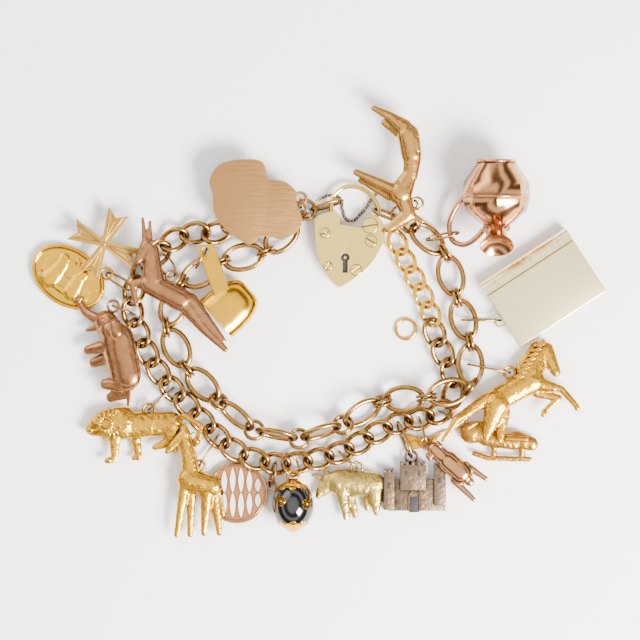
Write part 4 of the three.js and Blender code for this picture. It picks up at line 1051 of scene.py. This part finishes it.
def maltese_cross():
    """Four forked arms, each with a thin raised line along its edges and one down its middle."""
    form = bmesh.new()
    matrix = Matrix.Translation(CROSS["at"])
    outline = []
    top = CROSS["thick"] / 2
    for arm in range(4):
        middle = CROSS["turn"] + 90 * arm
        corners = [polar(middle - 45, CROSS["waist"]), polar(middle - CROSS["point"], CROSS["reach"]),
                   polar(middle, CROSS["notch"]), polar(middle + CROSS["point"], CROSS["reach"])]
        outline += corners
        inner = [polar(middle - 12, CROSS["reach"] * 0.86), polar(middle, CROSS["notch"] * 0.86),
                 polar(middle + 12, CROSS["reach"] * 0.86)]
        for end in inner:
            wire(form, [(*polar(middle, 0.8), top), (*end, top)], 0.13, matrix=matrix, sides=2)
        wire(form, [(*p, top) for p in inner], 0.13, matrix=matrix, sides=2)
    absorb(form, plate(outline, -top, top, 0.14), matrix)
    ball(form, matrix @ Vector((0, 0, top)), 0.6, flat=0.25)
    hanging_loop(form, 6.9, -2.9, matrix)
    piece("eight_pointed_cross", form, ["maltese_cross"], "matte_gold", MATTE)


PLAQUE = [
    (-27.5, 35), (-25, 38.8), (-20, 40), (-14.5, 39.5), (-13, 35), (-8.8, 34.5), (-6, 32), (-5.8, 29.2),
    (-4.4, 25),
    (-5.8, 22), (-9.2, 20), (-14.5, 20.8), (-17.5, 18.8), (-20, 20), (-23, 22), (-26.2, 26.2), (-26.8, 31.2),
]
PLAQUE_LOW = 5.9


def plaque():
    form = bmesh.new()
    absorb(form, plate(smooth_outline(PLAQUE, 6, (4, 10)), PLAQUE_LOW, PLAQUE_LOW + 1.3, 0.35, segments=4))
    hanging_loop(form, -4.9, 30.4, Matrix.Translation((0, 0, PLAQUE_LOW)))
    piece("lobed_plaque", form, ["plaque"], "brown_gold", BROWN)


EGG = {"at": (-6.75, -46.2, 5.4), "half": 6.3, "radius": 5.25, "cut": 4.4}


def egg_rows(start, end, count, swell=0.0):
    rows = []
    for i in range(count + 1):
        y = start + (end - start) * i / count
        rows.append((EGG["radius"] * math.sqrt(max(1 - (y / EGG["half"]) ** 2, 0)) + swell, y))
    return rows


def egg():
    form = bmesh.new()
    cut = EGG["cut"]
    absorb(form, turned([(0, -cut), *egg_rows(-cut, cut, 28), (0, cut)], 56), Matrix.Translation(EGG["at"]))
    for x, y in ((-2.9, 1.2), (3.4, 0.4)):
        round_radius = EGG["radius"] * math.sqrt(1 - (y / EGG["half"]) ** 2)
        z = math.sqrt(round_radius ** 2 - x ** 2)
        outward = Vector((x, y * 0.6, z)).normalized()
        place = Matrix.Translation(Vector(EGG["at"]) + Vector((x, y, z)))
        face = place @ outward.to_track_quat("Z", "Y").to_matrix().to_4x4()
        wire(form, ellipse(1.15, 1.15, 20), 0.12, closed=True, matrix=face, material=1, sides=1)
        for a in around(8):
            ball(form, face @ Vector((0.72 * math.cos(a), 0.72 * math.sin(a), 0.05)), 0.25, material=1,
                detail=1)
        ball(form, face @ Vector((0, 0, 0.1)), 0.36, material=1)
    piece("enamelled_egg", form, ["egg"], "black_enamel", BLACK, BRIGHT)


def egg_cap(name, node, end, loop):
    """A cap of overlapping petals, their tips turned down over the enamel."""
    petals = 8
    form = bmesh.new()
    cut = EGG["cut"] + 0.15
    profile = [*egg_rows(cut, 6, 6, 0.06), (0.9, 6.6), (0, 6.7)]
    flip = Matrix.Translation(EGG["at"]) @ (Matrix() if end > 0 else Matrix.Rotation(math.pi, 4, "X"))
    absorb(form, turned([(0, cut), *profile], 40), flip)
    for a in around(petals):
        base, _ = egg_rows(cut, cut, 1)[0]
        petal = bmesh.new()
        bmesh.ops.create_icosphere(petal, subdivisions=2, radius=1,
                                   matrix=Matrix.Diagonal((0.25, 0.95, 1.0, 1)))
        place = Matrix.Rotation(a, 4, "Y") @ Matrix.Translation((base - 0.15, cut, 0))
        absorb(form, petal, flip @ place @ Matrix.Rotation(math.radians(40), 4, "Z"))
    if loop:
        hanging_loop(form, 0, 7.2, Matrix.Translation(EGG["at"]))
    piece(name, form, [node], "bright_gold", BRIGHT)


DISC_COLUMNS = (-5.2, -3.1, -1.0, 1.1, 3.2, 5.3)
DISC = {"at": (-20.8, -43.2, 1.15), "rise": (0.05, 0), "radius": 7.75, "half": 0.65}


def enamel_disc():
    """A coin with a milled rim, wire cells and white enamel in them."""
    matrix = lean(DISC["at"], DISC["rise"])
    radius, half = DISC["radius"], DISC["half"]
    form = bmesh.new()
    rim = [(radius - 0.12 * (i % 2)) for i in range(120)]
    outline = [(r * math.cos(a), r * math.sin(a)) for r, a in zip(rim, around(120))]
    absorb(form, plate(outline, -half, half, 0.1), matrix)
    wire(form, ellipse(radius - 0.7, radius - 0.7, 60, half), 0.22, closed=True, matrix=matrix)
    for x in DISC_COLUMNS:
        reach = math.sqrt((radius - 1.3) ** 2 - x ** 2)
        for side in (-1, 1):
            low, high = 0.35, reach
            cell = smooth_outline([(x - 0.3, side * low), (x - 0.8, side * (low + high) / 2), (x,
                side * high),
                                   (x + 0.8, side * (low + high) / 2), (x + 0.3, side * low)], 5)
            absorb(form, plate(cell, half - 0.1, half + 0.08, 0), matrix, 1)
            wire(form, [(*point, half + 0.05) for point in cell], 0.13, closed=True, matrix=matrix, sides=1)
    hanging_loop(form, 8.4, 1.6, matrix)
    piece("cloisonne_disc", form, ["enamel_disc"], "rose_gold", ROSE, WHITE)


CASTLE = {"at": (24.2, -41.4, 1.8), "half": 1.7}
CASTLE_BLOCKS = [
    ((-7.2, -6.3, -1.5), (7.3, 1.5, 0.9)), ((-8.3, -6.1, -1.6), (-5.6, 3.5, 1.5)),
    ((4.3, -4.9, -1.6), (7.2, 4.7, 1.5)), ((-4.2, -1.2, -1.6), (2.3, 5.2, 1.5)),
]
CASTLE_TOPS = [(-8.3, -5.6, 3.5), (4.3, 7.2, 4.7), (-4.2, 2.3, 5.2)]


def castle():
    form = bmesh.new()
    matrix = Matrix.Translation(CASTLE["at"])
    for low, high in CASTLE_BLOCKS:
        bevelled_box(form, low, high, 0.12, matrix)
    for left, right, base in CASTLE_TOPS:
        count = 3 if right - left < 4 else 5
        width = (right - left) / (2 * count - 1)
        for k in range(count):
            x = left + 2 * k * width
            bevelled_box(form, (x, base - 0.2, -1.5), (x + width, base + 0.9, 1.5), 0.08, matrix)
    # The door is a near-black panel: painted shade for the opening.
    bevelled_box(form, (-1.9, -6.7, 0.6), (0.6, -2.8, 0.96), 0.05, matrix, material=1)
    arch = [(-0.65 + 1.35 * math.cos(a), -2.8 + 1.35 * math.sin(a), 0.95) for a in
            [math.pi * i / 14 for i in range(15)]]
    wire(form, [(0.7, -6.4, 0.95), *arch, (-2, -6.4, 0.95)], 0.28, matrix=matrix)
    # The windows are near-black slits: painted shade for the openings.
    for x, y in ((-7, 0), (5.7, 1.2), (-2.6, 3), (0.6, 3)):
        bevelled_box(form, (x - 0.35, y - 0.7, 1.3), (x + 0.35, y + 0.7, 1.56), 0.03, matrix, material=1)
    hanging_loop(form, -1.4, 7.2, matrix)
    piece("castle_keep", form, ["castle"], "oxidised_gold", GREY, OPENING_SHADE, crease=35)


LEAF = [(21.4, -28.6), (26.4, -29.4), (32, -27.4), (27.6, -31.2), (23.4, -32.4), (21.2, -30.6)]


def leaf():
    form = bmesh.new()
    absorb(form, plate(smooth_outline(LEAF, 5, (2, 5)), 0.1, 0.8, 0.15))
    wire(form, [(21.4, -30.6, 0.85), (26.4, -30, 0.9), (31.4, -27.7, 0.85)], 0.16)
    for start, end in (((23.6, -30.3), (24.4, -29)), ((26, -30), (27, -28.9)), ((24.4, -30.3), (25, -31.8)),
                       ((26.8, -29.8), (27.4, -30.8))):
        wire(form, [(*start, 0.85), (*end, 0.8)], 0.1)
    piece("small_leaf", form, ["leaf"], "bright_gold", CHASED)


medal()
maltese_cross()
plaque()
egg()
egg_cap("egg_petal_cap_top", "egg_cap_top", 1, True)
egg_cap("egg_petal_cap_bottom", "egg_cap_bottom", -1, False)
enamel_disc()
castle()
leaf()


# ---- table, light and camera ---------------------------------------------------------------------------

def table():
    form = bmesh.new()
    bmesh.ops.create_grid(form, x_segments=1, y_segments=1, size=2.0)
    mesh = bpy.data.meshes.new("table_top")
    form.to_mesh(mesh)
    form.free()
    floor = bpy.data.objects.new("table_top", mesh)
    bpy.context.scene.collection.objects.link(floor)
    material = bpy.data.materials.new("white_table")
    material.use_nodes = True
    shader = material.node_tree.nodes["Principled BSDF"]
    shader.inputs["Base Color"].default_value = (0.96, 0.96, 0.96, 1)
    shader.inputs["Roughness"].default_value = 0.6
    mesh.materials.append(material)


def lamp(name, place, size, power, colour=(1, 1, 1)):
    data = bpy.data.lights.new(name, "AREA")
    data.size = size
    data.energy = power
    data.color = colour
    light = bpy.data.objects.new(name, data)
    light.location = place
    light.rotation_euler = (Vector((0, 0, 0)) - Vector(place)).to_track_quat("-Z", "Y").to_euler()
    bpy.context.scene.collection.objects.link(light)


# Height of each band of the room above the horizon, from 0 to 1, and how bright it is.
ROOM_BANDS = [(0.18, 0.04), (0.36, 0.05), (0.46, 0.95), (0.58, 1.0), (0.68, 0.06), (0.8, 0.08), (0.88, 0.9)]


def room_light():
    """A room of bright and dark bands, which gives the polished metal something to mirror."""
    world = bpy.data.worlds.new("pale_room")
    bpy.context.scene.world = world
    world.use_nodes = True
    tree = world.node_tree
    where = add_node(tree, "ShaderNodeTexCoord")
    parts = add_node(tree, "ShaderNodeSeparateXYZ")
    shade = add_node(tree, "ShaderNodeValToRGB")
    ramp = shade.color_ramp
    ramp.elements[0].position = 0.0
    ramp.elements[0].color = (0.3, 0.27, 0.24, 1)
    ramp.elements[1].position = 0.97
    ramp.elements[1].color = (1, 1, 1, 1)
    for height, level in ROOM_BANDS:
        ramp.elements.new(height).color = (level, level * 0.97, level * 0.93, 1)
    tree.links.new(where.outputs["Generated"], parts.inputs[0])
    tree.links.new(parts.outputs["Z"], shade.inputs["Fac"])
    tree.links.new(shade.outputs["Color"], tree.nodes["Background"].inputs["Color"])
    tree.nodes["Background"].inputs["Strength"].default_value = 2.3


def camera():
    width, distance, sensor = 160.0, 1400.0, 36.0
    data = bpy.data.cameras.new("camera")
    data.type = "PERSP"
    data.sensor_width = sensor
    data.lens = sensor * distance / width
    data.clip_end = 10
    made = bpy.data.objects.new("camera", data)
    made.location = PLAN @ Vector((0, 0, distance + 3))
    bpy.context.scene.collection.objects.link(made)
    bpy.context.scene.camera = made


table()
room_light()
lamp("window", (0.35, -0.3, 0.45), 0.26, 22.0, (1, 0.98, 0.95))
lamp("bounce", (-0.4, 0.35, 0.4), 0.5, 2.5)
camera()
